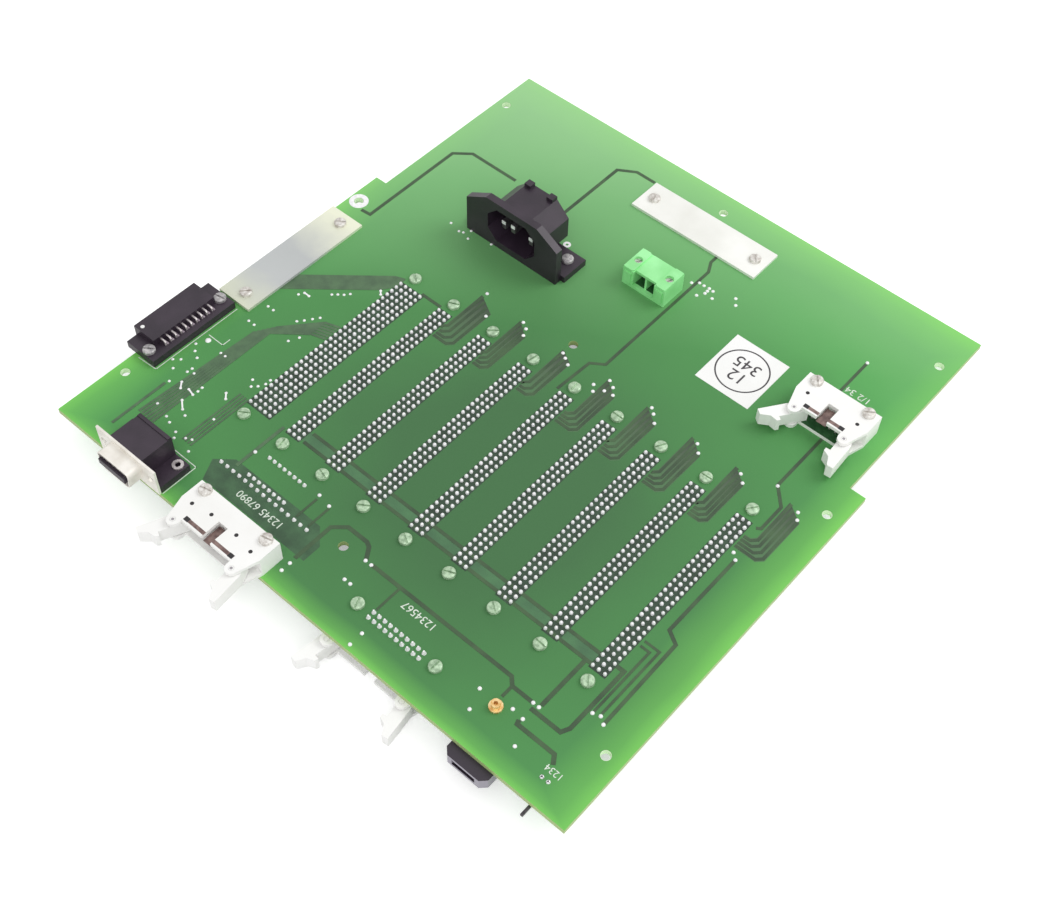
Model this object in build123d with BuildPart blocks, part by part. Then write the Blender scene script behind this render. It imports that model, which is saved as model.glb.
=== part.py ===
from build123d import *
import os
from math import cos, radians, sin

os.makedirs("parts", exist_ok=True)

# Frame: the origin is the centre of the four corner holes, on the board's upper (solder side) face.
# +X runs across the card slots, +Y to the rear edge and +Z up. Sizes are in millimetres.

# Board
board_thickness = 2.4
board_width = 241.3
board_depth = 254.0
front_field = 40.9
left_shoulder = 5.3
right_shoulder = 6.8
shoulder_past_hole = 14.95
corner_hole_span_y = 121.9
left_hole_inset = 4.55
right_hole_inset = 6.25
mounting_hole_radius = 1.9
middle_hole_x = -0.8
rear_left_hole_inset = 4.45
rear_right_hole_inset = 6.25
rear_hole_inset = 20.0
rear_middle_hole_inset = 9.5

# Card slots
pin_pitch = 2.54
slot_count = 8
slot_rows = 3
wide_slot_rows = 5
first_slot_x = 94.54
slot_pitch = 20.32
wide_slot_gap = 17.78
socket_length = 95.0
socket_end = 6.5
socket_row_margin = 5.5
socket_height = 11.2
socket_ear_length = 5.0
socket_ear_height = 5.2
socket_key_width = 1.1
socket_key_height = 3.6
wide_screw_offset = 2.54

# Solder tails
tail_sides = 3
tail_radius = 1.3
tail_height = 1.7
small_tail_radius = 0.9
small_tail_height = 1.2
large_tail_radius = 2.4

# Slotted pan head screws
head_radius = 2.45
head_height = 1.4
head_sides = 10
head_slot_width = 0.7
head_slot_depth = 0.6
shank_radius = 1.2
shank_sides = 6
shank_clearance = 0.2
shank_engagement = 3.5

# Latched box headers
header_margin = 18.5
header_back = 2.2
header_front = 13.5
header_height = 9.4
header_plate = 1.5
cavity_margin = 5.1
cavity_floor = 4.5
key_slot_width = 4.4
key_slot_end = 5.5
side_block_front = 7.0
header_screw_margin = 4.95
header_pin_length = 6.0
header_pin_width = 0.64
pivot_margin = 4.4
pivot_lead = 1.7
pivot_ear_radius = 2.4
pivot_boss_radius = 0.95
pivot_hole_radius = 1.04
pivot_sides = 12
latch_play = 0.3
latch_foot_length = 5.5
latch_foot_width = 3.2
latch_arm_length = 7.4
latch_arm_width = 5.0
latch_tip_length = 12.4
latch_tip_width = 3.4
latch_hook_reach = 3.3
latch_hook_width = 1.4

# Header places: the middle of the pin line. A share is the part of the free room in front of a piece
io_header_columns = 5
io_header_from_right = 28.8
io_header_share = 0.29105
panel_header_columns = 8
panel_header_from_left = 88.0
panel_header_from_front = 8.1
display_header_columns = 10
display_header_x = 36.8
display_header_from_front = 14.5
io_left_open, io_right_open = 35.0, 3.0
panel_left_open, panel_right_open = 24.0, 6.0
display_left_open, display_right_open = 8.0, 8.0

# Mains inlet
inlet_x = -49.2
inlet_share = 0.47345
inlet_flange_width = 46.6
inlet_flange_lip = 1.5
inlet_flange_shoulder = 17.2
inlet_flange_flat = 26.0
inlet_flange_thickness = 3.2
inlet_screw_offset = 6.6
inlet_body_width = 26.8
inlet_body_height = 21.9
inlet_body_depth = 19.0
inlet_body_chamfer = 6.2
inlet_side_wall = 1.3
inlet_top_wall = 1.9
inlet_floor_wall = 3.4
inlet_back_wall = 2.4
inlet_chamfer_step = 1.6
inlet_foot_wing = 11.9
inlet_foot_length = 13.0
inlet_foot_height = 3.0
inlet_shroud_width = 3.0
inlet_shroud_height = 1.5
inlet_blade_width = 2.0
inlet_blade_height = 4.0
inlet_blade_setback = 4.0
inlet_blade_spacing = 7.0
inlet_earth_rise = 4.0
inlet_earth_setback = 1.4

# Pluggable power terminal
terminal_x = 2.4
terminal_share = 0.6891
terminal_width = 20.32
terminal_depth = 12.5
terminal_height = 8.6
terminal_ear_width = 5.08
terminal_setback = 1.6
terminal_pitch = 5.08
terminal_wall = 1.2
terminal_cavity_depth = 9.0
terminal_cavity_floor = 1.4
terminal_screw_radius = 1.7
terminal_screw_recess = 0.5
terminal_pin_width = 1.0
terminal_pin_length = 4.8

# Metal plates
plate_length = 61.4
plate_width = 16.4
plate_thickness = 1.2
plate_screw_inset = 5.3
side_plate_from_left = 7.9
side_plate_y = 20.6
side_plate_screw_offset = 1.2
rear_plate_x = -0.7
rear_plate_from_rear = 23.1

# Serial connector
serial_from_left = 41.0
serial_flange_overhang = 0.4
serial_flange_height = 12.5
serial_flange_thickness = 0.9
serial_shell_width = 17.4
serial_shell_height = 8.9
serial_shell_slant = 10.0
serial_shell_corner = 2.0
serial_shell_wall = 0.6
serial_shell_length = 5.9
serial_body_width = 16.4
serial_body_depth = 13.5
serial_foot_height = 3.1
serial_lock_offset = 4.3
serial_lock_end = 2.9
serial_lock_inset = 2.8
serial_lock_radius = 2.2
serial_lock_bore = 1.2
serial_lock_height = 0.6
serial_insulator = 0.8
serial_pin_pitch = 2.77
serial_row_gap = 2.84
serial_pin_radius = 0.5
serial_pin_length = 4.4
serial_tail_inset = 5.8

# Side edge connector
edge_to_plate_gap = 1.9
edge_columns = 10
edge_block_overhang = 5.6
edge_block_end = 2.1
edge_block_height = 6.4
edge_block_depth = 11.2
edge_base_overhang = 4.1
edge_base_depth = 15.0
edge_base_height = 3.2
edge_screw_gap = 0.25
edge_end_gap = 0.15
edge_screw_inset = 9.7
edge_end_wall = 1.5
edge_side_wall = 0.8
edge_back_wall = 2.6
edge_pin_width = 0.6
edge_pin_length = 4.3
edge_tail_gap = 2.6
edge_tail_rise = 5.2

# Black socket under the front edge
front_socket_share = 0.60015
front_socket_width = 17.6
front_socket_overhang = 4.6
front_socket_depth = 20.0
front_socket_height = 5.2
front_socket_chamfer = 2.2
front_mouth_width = 9.6
front_mouth_height = 2.6
front_mouth_depth = 6.0

# Small pin strip under the front edge
strip_from_right = 15.2
strip_from_front = 8.7
strip_height = 2.6
strip_depth = 2.5
strip_pin_width = 1.0
strip_pin_overhang = 3.8
strip_short_pin = 2.5

# Turned gold terminal
gold_from_socket = 5.5
gold_from_front = 17.0
gold_base_radius = 2.5
gold_base_height = 0.9
gold_top_radius = 1.7
gold_height = 2.8
gold_bore_radius = 0.75
gold_bore_depth = 2.2
gold_sides = 12

# Plain round-ring label
label_from_header_x = 38.1
label_from_header_y = 7.2
label_width = 24.2
label_length = 27.0
label_thickness = 0.15

# Parts under the board whose leads show from above
package_from_header = 6.0
package_from_sockets = 9.7
package_columns = 8
package_row_gap = 9.9
package_width = 7.6
package_end_trim = 0.01
package_height = 4.0
package_standoff = 0.5
lead_width = 0.6
row_strip_from_header = 4.7
row_strip_from_package = 7.6
row_strip_columns = 15
row_strip_pitch = 3.1
row_strip_width = 2.5
row_strip_height = 4.6


def spread(start, end, size, share):
    return start + share * (end - start - size)


# Places worked out from the sizes above
board_underside = -board_thickness
corner_hole_span_x = board_width - left_hole_inset - right_hole_inset
board_left = -corner_hole_span_x / 2 - left_hole_inset
board_right = board_left + board_width
socket_end_y = socket_length / 2
board_front_y = -socket_end_y - front_field
board_back_y = board_front_y + board_depth
shoulder_y = corner_hole_span_y / 2 + shoulder_past_hole
slot_columns = int((socket_length - 2 * socket_end) / pin_pitch)
socket_screw_span = socket_length - socket_ear_length
pivot_y = -header_front - pivot_lead
header_reach = latch_tip_length - pivot_y
io_header_x = board_right - io_header_from_right
io_header_y = header_reach + spread(socket_end_y, board_back_y, header_reach + header_back, io_header_share)
panel_header_x = board_left + panel_header_from_left
panel_header_y = board_front_y + panel_header_from_front
display_header_y = board_front_y + display_header_from_front
plate_screw_span = plate_length - 2 * plate_screw_inset
side_plate_x = board_left + side_plate_from_left
side_plate_screw_x = side_plate_x + side_plate_screw_offset
rear_plate_y = board_back_y - rear_plate_from_rear
rear_plate_front_y = rear_plate_y - plate_width / 2
inlet_face_y = spread(socket_end_y, rear_plate_front_y, inlet_body_depth, inlet_share)
terminal_face_y = spread(socket_end_y, rear_plate_front_y, terminal_depth, terminal_share)
serial_x = board_left + serial_from_left
serial_flange_y = board_front_y - serial_flange_overhang
serial_body_back_y = serial_flange_y + serial_flange_thickness + serial_body_depth
edge_block_length = edge_columns * pin_pitch + 2 * edge_block_end
edge_screw_span = edge_block_length + 2 * (head_radius + edge_screw_gap)
edge_base_length = edge_screw_span + 2 * (head_radius + edge_end_gap)
edge_y = side_plate_y - plate_length / 2 - edge_to_plate_gap - edge_base_length / 2
edge_front_x = board_left - edge_block_overhang
edge_base_front_x = board_left - edge_base_overhang
edge_screw_x = edge_base_front_x + edge_screw_inset
strip_x = board_right - strip_from_right
strip_y = board_front_y + strip_from_front
display_end_x = display_header_x + (display_header_columns * pin_pitch + header_margin) / 2
front_socket_x = front_socket_width / 2 + spread(
    display_end_x, strip_x - pin_pitch, front_socket_width, front_socket_share
)
gold_x = front_socket_x - gold_from_socket
gold_y = board_front_y + gold_from_front
label_x = io_header_x - label_from_header_x
label_y = io_header_y - label_from_header_y
package_x = panel_header_x - package_from_header
package_y = -socket_end_y - package_from_sockets
package_length = package_columns * pin_pitch - 2 * package_end_trim
row_strip_x = panel_header_x - row_strip_from_header
row_strip_y = package_y - row_strip_from_package
slot_xs = [first_slot_x - i * slot_pitch for i in range(slot_count)]
wide_slot_x = slot_xs[-1] - wide_slot_gap
shank_hole_radius = shank_radius + shank_clearance
board_top = Plane.XY
board_bottom = Plane(origin=(0, 0, board_underside), x_dir=(-1, 0, 0), z_dir=(0, 0, -1))


def save(part, name):
    part.label = name
    export_step(part, f"parts/{name}.step")


def moved_plane(base, x=0, y=0, z=0, turn=0):
    return Plane(base.location * Location((x, y, z), (0, 0, turn)))


def grid(columns, rows, pitch_x, pitch_y):
    return GridLocations(pitch_x, pitch_y, columns, rows)


# Screws
def screw(shank_length):
    with BuildPart() as body:
        with BuildSketch():
            RegularPolygon(head_radius, head_sides)
        extrude(amount=head_height)
        with BuildSketch(Plane.XY.offset(head_height)):
            Rectangle(3 * head_radius, head_slot_width)
        extrude(amount=-head_slot_depth, mode=Mode.SUBTRACT)
        with BuildSketch():
            RegularPolygon(shank_radius, shank_sides)
        extrude(amount=-shank_length)
    return body.part


def screw_set(places, shank_length):
    pattern = screw(shank_length)
    with BuildPart() as screws:
        for index, (x, y, z) in enumerate(places):
            with Locations(Location((x, y, z), (0, 0, 37 + 61 * index))):
                add(pattern)
    return screws.part


slot_screws = [(x, side * socket_screw_span / 2) for x in slot_xs for side in (-1, 1)]
wide_screw_x = wide_slot_x - wide_screw_offset
slot_screws += [(wide_screw_x, side * socket_screw_span / 2) for side in (-1, 1)]
io_screws = [
    (io_header_x + side * (io_header_columns * pin_pitch / 2 + header_screw_margin), io_header_y)
    for side in (-1, 1)
]
panel_screws = [
    (panel_header_x + side * (panel_header_columns * pin_pitch / 2 + header_screw_margin), panel_header_y)
    for side in (-1, 1)
]
display_screws = [
    (display_header_x + side * (display_header_columns * pin_pitch / 2 + header_screw_margin), display_header_y)
    for side in (-1, 1)
]
side_plate_screws = [(side_plate_screw_x, side_plate_y + side * plate_screw_span / 2) for side in (-1, 1)]
rear_plate_screws = [(rear_plate_x + side * plate_screw_span / 2, rear_plate_y) for side in (-1, 1)]
inlet_screw_y = inlet_face_y + inlet_flange_thickness + inlet_foot_length - 2 * head_radius
inlet_screw_span = inlet_body_width + 2 * inlet_screw_offset
inlet_screws = [(inlet_x + side * inlet_screw_span / 2, inlet_screw_y) for side in (-1, 1)]
edge_screws = [(edge_screw_x, edge_y + side * edge_screw_span / 2) for side in (-1, 1)]
board_screws = (
    slot_screws + io_screws + panel_screws + display_screws
    + side_plate_screws + rear_plate_screws + inlet_screws + edge_screws
)

# Circuit board with stepped sides
mounting_holes = [
    (side_x * corner_hole_span_x / 2, side_y * corner_hole_span_y / 2) for side_x in (-1, 1) for side_y in (-1, 1)
]
mounting_holes += [(middle_hole_x, side * corner_hole_span_y / 2) for side in (-1, 1)]
rear_hole_xs = (
    board_left + left_shoulder + rear_left_hole_inset,
    board_right - right_shoulder - rear_right_hole_inset,
)
mounting_holes += [(x, board_back_y - rear_hole_inset) for x in rear_hole_xs]
mounting_holes += [(middle_hole_x, board_back_y - rear_middle_hole_inset)]
with BuildPart() as circuit_board:
    with BuildSketch(board_top):
        with BuildLine():
            Polyline(
                (board_left, board_front_y),
                (board_right, board_front_y),
                (board_right, shoulder_y),
                (board_right - right_shoulder, shoulder_y),
                (board_right - right_shoulder, board_back_y),
                (board_left + left_shoulder, board_back_y),
                (board_left + left_shoulder, shoulder_y),
                (board_left, shoulder_y),
                close=True,
            )
        make_face()
        with Locations(*mounting_holes):
            Circle(mounting_hole_radius, mode=Mode.SUBTRACT)
        with Locations(*board_screws):
            RegularPolygon(shank_hole_radius, shank_sides, mode=Mode.SUBTRACT)
    extrude(amount=-board_thickness)
save(circuit_board.part, "circuit_board")


# Card sockets under the board
def card_socket(centre_x, rows, screw_x):
    width = (rows - 1) * pin_pitch + socket_row_margin
    with BuildPart() as socket:
        with BuildSketch(Plane.XY.offset(board_underside)):
            with Locations((centre_x, 0)):
                Rectangle(width, socket_length)
        extrude(amount=-socket_ear_height)
        with BuildSketch(Plane.XY.offset(board_underside)):
            with Locations((centre_x, 0)):
                Rectangle(width, socket_length - 2 * socket_ear_length)
        extrude(amount=-socket_height)
        with BuildSketch(Plane.XY.offset(board_underside - socket_height)):
            with Locations((centre_x - width / 2, 0)):
                Rectangle(2 * socket_key_width, socket_length)
        extrude(amount=socket_key_height, mode=Mode.SUBTRACT)
        with BuildSketch(Plane.XY.offset(board_underside)):
            with Locations(*[(screw_x, side * socket_screw_span / 2) for side in (-1, 1)]):
                RegularPolygon(shank_hole_radius, shank_sides)
        extrude(amount=-shank_engagement - shank_clearance, mode=Mode.SUBTRACT)
    return socket.part


def solder_cone(radius, height):
    with BuildPart() as cone:
        with BuildSketch() as base:
            RegularPolygon(radius, tail_sides)
        loft(sections=[base.sketch.face(), Vertex(0, 0, height)])
    return cone.part


def cones(plane, places, radius, height):
    cone = solder_cone(radius, height)
    with BuildPart() as field:
        with Locations(plane):
            with Locations(*places):
                add(cone)
    return field.part


def slot_places(centre_x, rows):
    middle_row, middle_column = (rows - 1) / 2, (slot_columns - 1) / 2
    return [
        (centre_x + (row - middle_row) * pin_pitch, (column - middle_column) * pin_pitch)
        for row in range(rows)
        for column in range(slot_columns)
    ]


for number, slot_x in enumerate(slot_xs, start=1):
    save(card_socket(slot_x, slot_rows, slot_x), f"card_socket_{number}")
    save(cones(board_top, slot_places(slot_x, slot_rows), tail_radius, tail_height), f"socket_tails_{number}")
save(card_socket(wide_slot_x, wide_slot_rows, wide_screw_x), "wide_card_socket")
save(cones(board_top, slot_places(wide_slot_x, wide_slot_rows), tail_radius, tail_height), "wide_socket_tails")
save(
    screw_set([(x, y, 0) for x, y in slot_screws], board_thickness + shank_engagement),
    "socket_screws",
)


# Latched box headers: local x runs along the header, local -y is the mating side, local z leaves the board
def header_plane(base, x, y):
    local_x = x if base is board_top else -x
    return moved_plane(base, local_x, y)


def header_body(seat, columns):
    row = columns * pin_pitch
    half_width = (row + header_margin) / 2
    pivot_x = row / 2 + pivot_margin
    with BuildPart() as body:
        with BuildSketch(seat) as outline:
            with BuildLine():
                Polyline(
                    (-half_width, header_back),
                    (half_width, header_back),
                    (half_width, -side_block_front),
                    (pivot_x + pivot_ear_radius, pivot_y),
                    (pivot_x - pivot_ear_radius, pivot_y),
                    (pivot_x - pivot_ear_radius, -header_front),
                    (-pivot_x + pivot_ear_radius, -header_front),
                    (-pivot_x + pivot_ear_radius, pivot_y),
                    (-pivot_x - pivot_ear_radius, pivot_y),
                    (-half_width, -side_block_front),
                    close=True,
                )
            make_face()
            with Locations((-pivot_x, pivot_y), (pivot_x, pivot_y)):
                RegularPolygon(pivot_ear_radius, pivot_sides)
        extrude(amount=header_height)
        with BuildSketch(seat.offset(header_plate)):
            with Locations((0, -side_block_front)):
                Rectangle(2 * half_width, 2 * header_front, align=(Align.CENTER, Align.MAX))
            with Locations((0, -cavity_floor)):
                Rectangle(row + cavity_margin, header_front, align=(Align.CENTER, Align.MAX))
        extrude(amount=header_height - 2 * header_plate, mode=Mode.SUBTRACT)
        with BuildSketch(seat.offset(header_height)):
            with Locations((0, -key_slot_end)):
                Rectangle(key_slot_width, header_front, align=(Align.CENTER, Align.MAX))
        extrude(amount=-header_plate, mode=Mode.SUBTRACT)
        with BuildSketch(seat):
            with Locations((-pivot_x, pivot_y), (pivot_x, pivot_y)):
                RegularPolygon(pivot_hole_radius, pivot_sides)
        extrude(amount=header_height, mode=Mode.SUBTRACT)
        with BuildSketch(seat):
            screw_x = row / 2 + header_screw_margin
            with Locations((-screw_x, 0), (screw_x, 0)):
                RegularPolygon(shank_hole_radius, shank_sides)
        extrude(amount=header_height, mode=Mode.SUBTRACT)
    return body.part


def header_pins(seat, far_side, columns):
    middle = (columns - 1) / 2
    heights = [header_height / 2 + side * pin_pitch / 2 for side in (-1, 1)]
    mating_face = Plane(seat.location * Location((0, -cavity_floor, 0), (90, 0, 0)))
    tails = [
        (seat.origin.X + (column - middle) * pin_pitch, seat.origin.Y + side * pin_pitch / 2)
        for column in range(columns)
        for side in (-1, 1)
    ]
    with BuildPart() as pins:
        with BuildSketch(mating_face):
            with Locations(*[((column - middle) * pin_pitch, z) for column in range(columns) for z in heights]):
                Rectangle(header_pin_width, header_pin_width)
        extrude(amount=header_pin_length)
        cone = solder_cone(tail_radius, tail_height)
        if far_side is board_top:
            with Locations(*tails):
                add(cone)
        else:
            with Locations(board_bottom):
                with Locations(*[(-x, y) for x, y in tails]):
                    add(cone)
    return pins.part


def latch(seat, columns, side, opening):
    thickness = header_height - 2 * header_plate - 2 * latch_play
    pivot_x = side * (columns * pin_pitch / 2 + pivot_margin)
    middle = moved_plane(seat, pivot_x, pivot_y, header_plate + latch_play, side * opening)
    with BuildPart() as body:
        with BuildSketch(middle) as outline:
            with BuildLine():
                Polyline(
                    (-side * latch_foot_width / 2, latch_foot_length),
                    (side * latch_foot_width / 2, latch_foot_length),
                    (side * (latch_arm_width - latch_foot_width / 2), 0),
                    (side * (latch_arm_width - latch_foot_width / 2), -latch_arm_length),
                    (side * latch_tip_width, -latch_tip_length),
                    (side * latch_tip_width / 4, -latch_tip_length),
                    (-side * latch_hook_width / 2, -latch_arm_length - latch_hook_width),
                    (-side * latch_hook_reach, -latch_arm_length),
                    (-side * latch_hook_reach, -latch_arm_length + latch_hook_width),
                    (-side * latch_foot_width / 2, -latch_arm_length + latch_hook_width),
                    close=True,
                )
            make_face()
        extrude(amount=thickness)
        with BuildSketch(middle):
            RegularPolygon(pivot_boss_radius, pivot_sides)
        extrude(amount=thickness + latch_play + header_plate)
        with BuildSketch(middle):
            RegularPolygon(pivot_boss_radius, pivot_sides)
        extrude(amount=-latch_play - header_plate)
    return body.part


header_sides = [
    ("io", board_top, board_bottom, io_header_x, io_header_y, io_header_columns, io_left_open, io_right_open),
    (
        "panel", board_top, board_bottom, panel_header_x, panel_header_y, panel_header_columns,
        panel_left_open, panel_right_open,
    ),
    (
        "display", board_bottom, board_top, display_header_x, display_header_y, display_header_columns,
        display_right_open, display_left_open,
    ),
]
for name, base, far_side, header_x, header_y, columns, low_open, high_open in header_sides:
    seat = header_plane(base, header_x, header_y)
    names = ("left", "right") if base is board_top else ("right", "left")
    save(header_body(seat, columns), f"{name}_header_body")
    save(header_pins(seat, far_side, columns), f"{name}_header_pins")
    save(latch(seat, columns, -1, low_open), f"{name}_latch_{names[0]}")
    save(latch(seat, columns, 1, high_open), f"{name}_latch_{names[1]}")
top_header_screws = screw_set(
    [(x, y, header_height) for x, y in io_screws + panel_screws], header_height + board_thickness
)
display_header_screws = screw_set([(x, y, 0) for x, y in display_screws], board_thickness + header_height)
save(top_header_screws, "header_screws")
save(display_header_screws, "display_header_screws")

# Mains inlet
inlet_flange_height = inlet_body_height + inlet_flange_lip
inlet_foot_width = inlet_body_width + 2 * inlet_foot_wing
inlet_cavity_width = inlet_body_width - 2 * inlet_side_wall
inlet_cavity_height = inlet_body_height - inlet_floor_wall - inlet_top_wall
inlet_cavity_z = inlet_floor_wall + inlet_cavity_height / 2
inlet_cavity_chamfer = inlet_body_chamfer - inlet_chamfer_step
inlet_cavity_depth = inlet_body_depth - inlet_back_wall
inlet_front = Plane(origin=(inlet_x, inlet_face_y, 0), x_dir=(1, 0, 0), z_dir=(0, -1, 0))
with BuildPart() as mains_inlet_housing:
    with BuildSketch(inlet_front):
        with BuildLine():
            Polyline(
                (-inlet_flange_width / 2, 0),
                (inlet_flange_width / 2, 0),
                (inlet_flange_width / 2, inlet_flange_shoulder),
                (inlet_flange_flat / 2, inlet_flange_height),
                (-inlet_flange_flat / 2, inlet_flange_height),
                (-inlet_flange_width / 2, inlet_flange_shoulder),
                close=True,
            )
        make_face()
    extrude(amount=-inlet_flange_thickness)
    with BuildSketch(inlet_front) as body_section:
        Rectangle(inlet_body_width, inlet_body_height, align=(Align.CENTER, Align.MIN))
        chamfer(body_section.vertices().group_by(Axis.Z)[-1], inlet_body_chamfer)
    extrude(amount=-inlet_body_depth)
    with BuildSketch(Plane.XY):
        with Locations((inlet_x, inlet_face_y + inlet_flange_thickness)):
            Rectangle(inlet_foot_width, inlet_foot_length, align=(Align.CENTER, Align.MIN))
        with Locations(*inlet_screws):
            RegularPolygon(shank_hole_radius, shank_sides, mode=Mode.SUBTRACT)
    extrude(amount=inlet_foot_height)
    with BuildSketch(inlet_front.offset(-inlet_body_depth)):
        shroud_x = inlet_body_width / 2 - inlet_body_chamfer - inlet_shroud_width / 2
        with Locations((-shroud_x, inlet_body_height), (shroud_x, inlet_body_height)):
            Rectangle(inlet_shroud_width, 2 * inlet_shroud_height)
    extrude(amount=inlet_shroud_width)
    with BuildSketch(inlet_front) as cavity_section:
        with Locations((0, inlet_cavity_z)):
            Rectangle(inlet_cavity_width, inlet_cavity_height)
        chamfer(cavity_section.vertices().group_by(Axis.Z)[-1], inlet_cavity_chamfer)
    extrude(amount=-inlet_cavity_depth, mode=Mode.SUBTRACT)
save(mains_inlet_housing.part, "mains_inlet_housing")

blade_z = inlet_cavity_z - inlet_earth_rise / 2
with BuildPart() as mains_inlet_blades:
    with BuildSketch(inlet_front.offset(-inlet_cavity_depth)):
        with Locations((-inlet_blade_spacing, blade_z), (inlet_blade_spacing, blade_z)):
            Rectangle(inlet_blade_width, inlet_blade_height)
    extrude(amount=inlet_cavity_depth - inlet_blade_setback)
    with BuildSketch(inlet_front.offset(-inlet_cavity_depth)):
        with Locations((0, blade_z + inlet_earth_rise)):
            Rectangle(inlet_blade_width, inlet_blade_height)
    extrude(amount=inlet_cavity_depth - inlet_earth_setback)
    with Locations(board_bottom):
        tail_y = inlet_face_y + inlet_body_depth - inlet_blade_height
        with Locations(*[(-inlet_x + side * inlet_blade_spacing, tail_y) for side in (-1, 0, 1)]):
            add(solder_cone(large_tail_radius, tail_height))
save(mains_inlet_blades.part, "mains_inlet_blades")
save(
    screw_set([(x, y, inlet_foot_height) for x, y in inlet_screws], inlet_foot_height + board_thickness),
    "mains_inlet_screws",
)

# Pluggable power terminal
terminal_front = Plane(origin=(terminal_x, terminal_face_y, 0), x_dir=(1, 0, 0), z_dir=(0, -1, 0))
terminal_gap = terminal_width - 2 * terminal_ear_width
terminal_screw_x = (terminal_width - terminal_ear_width) / 2
with BuildPart() as power_terminal_housing:
    with BuildSketch(Plane.XY):
        with Locations((terminal_x, terminal_face_y)):
            Rectangle(terminal_width, terminal_depth, align=(Align.CENTER, Align.MIN))
    extrude(amount=terminal_height)
    with BuildSketch(Plane.XY.offset(terminal_height)):
        with Locations((terminal_x, terminal_face_y)):
            Rectangle(terminal_gap, terminal_setback, align=(Align.CENTER, Align.MIN))
    extrude(amount=-(terminal_height - terminal_cavity_floor), mode=Mode.SUBTRACT)
    with BuildSketch(terminal_front):
        with Locations((0, terminal_cavity_floor)):
            Rectangle(
                terminal_gap, terminal_height - terminal_cavity_floor - terminal_wall, align=(Align.CENTER, Align.MIN)
            )
    extrude(amount=-terminal_cavity_depth, mode=Mode.SUBTRACT)
    with BuildSketch(Plane.XY.offset(terminal_height)):
        screw_row_y = terminal_face_y + terminal_depth / 2
        with Locations(*[(terminal_x + side * terminal_screw_x, screw_row_y) for side in (-1, 1)]):
            RegularPolygon(terminal_screw_radius, head_sides)
    extrude(amount=-terminal_height / 2, mode=Mode.SUBTRACT)
save(power_terminal_housing.part, "power_terminal_housing")

with BuildPart() as power_terminal_inserts:
    with BuildSketch(Plane.XY.offset(terminal_height / 2)):
        with Locations(*[(terminal_x + side * terminal_screw_x, screw_row_y) for side in (-1, 1)]):
            RegularPolygon(terminal_screw_radius, head_sides)
    extrude(amount=terminal_height / 2 - terminal_screw_recess)
    with BuildSketch(Plane.XY.offset(terminal_height - terminal_screw_recess)):
        for side, turn in ((-1, 65), (1, 80)):
            with Locations(Location((terminal_x + side * terminal_screw_x, screw_row_y), turn)):
                Rectangle(3 * terminal_screw_radius, head_slot_width)
    extrude(amount=-head_slot_depth, mode=Mode.SUBTRACT)
save(power_terminal_inserts.part, "power_terminal_inserts")

with BuildPart() as power_terminal_pins:
    with BuildSketch(terminal_front.offset(-terminal_cavity_depth)):
        pin_z = (terminal_height - terminal_wall + terminal_cavity_floor) / 2
        with Locations((-terminal_pitch / 2, pin_z), (terminal_pitch / 2, pin_z)):
            Rectangle(terminal_pin_width, terminal_pin_width)
    extrude(amount=terminal_pin_length)
    with Locations(board_bottom):
        tail_y = terminal_face_y + terminal_depth - tail_radius
        with Locations(*[(-terminal_x + side * terminal_pitch / 2, tail_y) for side in (-1, 1)]):
            add(solder_cone(tail_radius, tail_height))
save(power_terminal_pins.part, "power_terminal_pins")


# Metal plates
def screwed_plate(x, y, size_x, size_y, screws):
    with BuildPart() as plate:
        with BuildSketch(Plane.XY):
            with Locations((x, y)):
                Rectangle(size_x, size_y)
            with Locations(*screws):
                RegularPolygon(shank_hole_radius, shank_sides, mode=Mode.SUBTRACT)
        extrude(amount=plate_thickness)
    return plate.part


save(screwed_plate(side_plate_x, side_plate_y, plate_width, plate_length, side_plate_screws), "side_plate")
save(screwed_plate(rear_plate_x, rear_plate_y, plate_length, plate_width, rear_plate_screws), "rear_plate")
save(
    screw_set(
        [(x, y, plate_thickness) for x, y in side_plate_screws + rear_plate_screws], plate_thickness + board_thickness
    ),
    "plate_screws",
)

# Serial connector
serial_front = Plane(origin=(serial_x, serial_flange_y, 0), x_dir=(1, 0, 0), z_dir=(0, -1, 0))
serial_middle = serial_flange_height / 2
serial_lock_span = serial_body_width + 2 * serial_lock_offset
serial_flange_width = serial_lock_span + 2 * serial_lock_end
serial_lock_y = serial_body_back_y - serial_lock_inset
serial_tail_y = serial_body_back_y - serial_tail_inset


def shell_outline(inset):
    half_top = serial_shell_width / 2 - inset
    half_height = serial_shell_height / 2 - inset
    half_bottom = half_top - 2 * half_height * sin(radians(serial_shell_slant)) / cos(radians(serial_shell_slant))
    with BuildSketch(serial_front) as outline:
        with BuildLine():
            Polyline(
                (-half_top, serial_middle + half_height),
                (half_top, serial_middle + half_height),
                (half_bottom, serial_middle - half_height),
                (-half_bottom, serial_middle - half_height),
                close=True,
            )
        make_face()
        fillet(outline.vertices(), serial_shell_corner - inset)
    return outline.sketch


with BuildPart() as serial_shell:
    with BuildSketch(serial_front):
        Rectangle(serial_flange_width, serial_flange_height, align=(Align.CENTER, Align.MIN))
        with Locations((-serial_lock_span / 2, serial_middle), (serial_lock_span / 2, serial_middle)):
            RegularPolygon(serial_lock_bore + serial_shell_wall, head_sides, mode=Mode.SUBTRACT)
    extrude(amount=-serial_flange_thickness)
    extrude(shell_outline(0), amount=serial_shell_length)
    extrude(shell_outline(serial_shell_wall), amount=serial_shell_length, mode=Mode.SUBTRACT)
    extrude(shell_outline(serial_shell_wall), amount=-serial_flange_thickness, mode=Mode.SUBTRACT)
save(serial_shell.part, "serial_shell")

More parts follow.
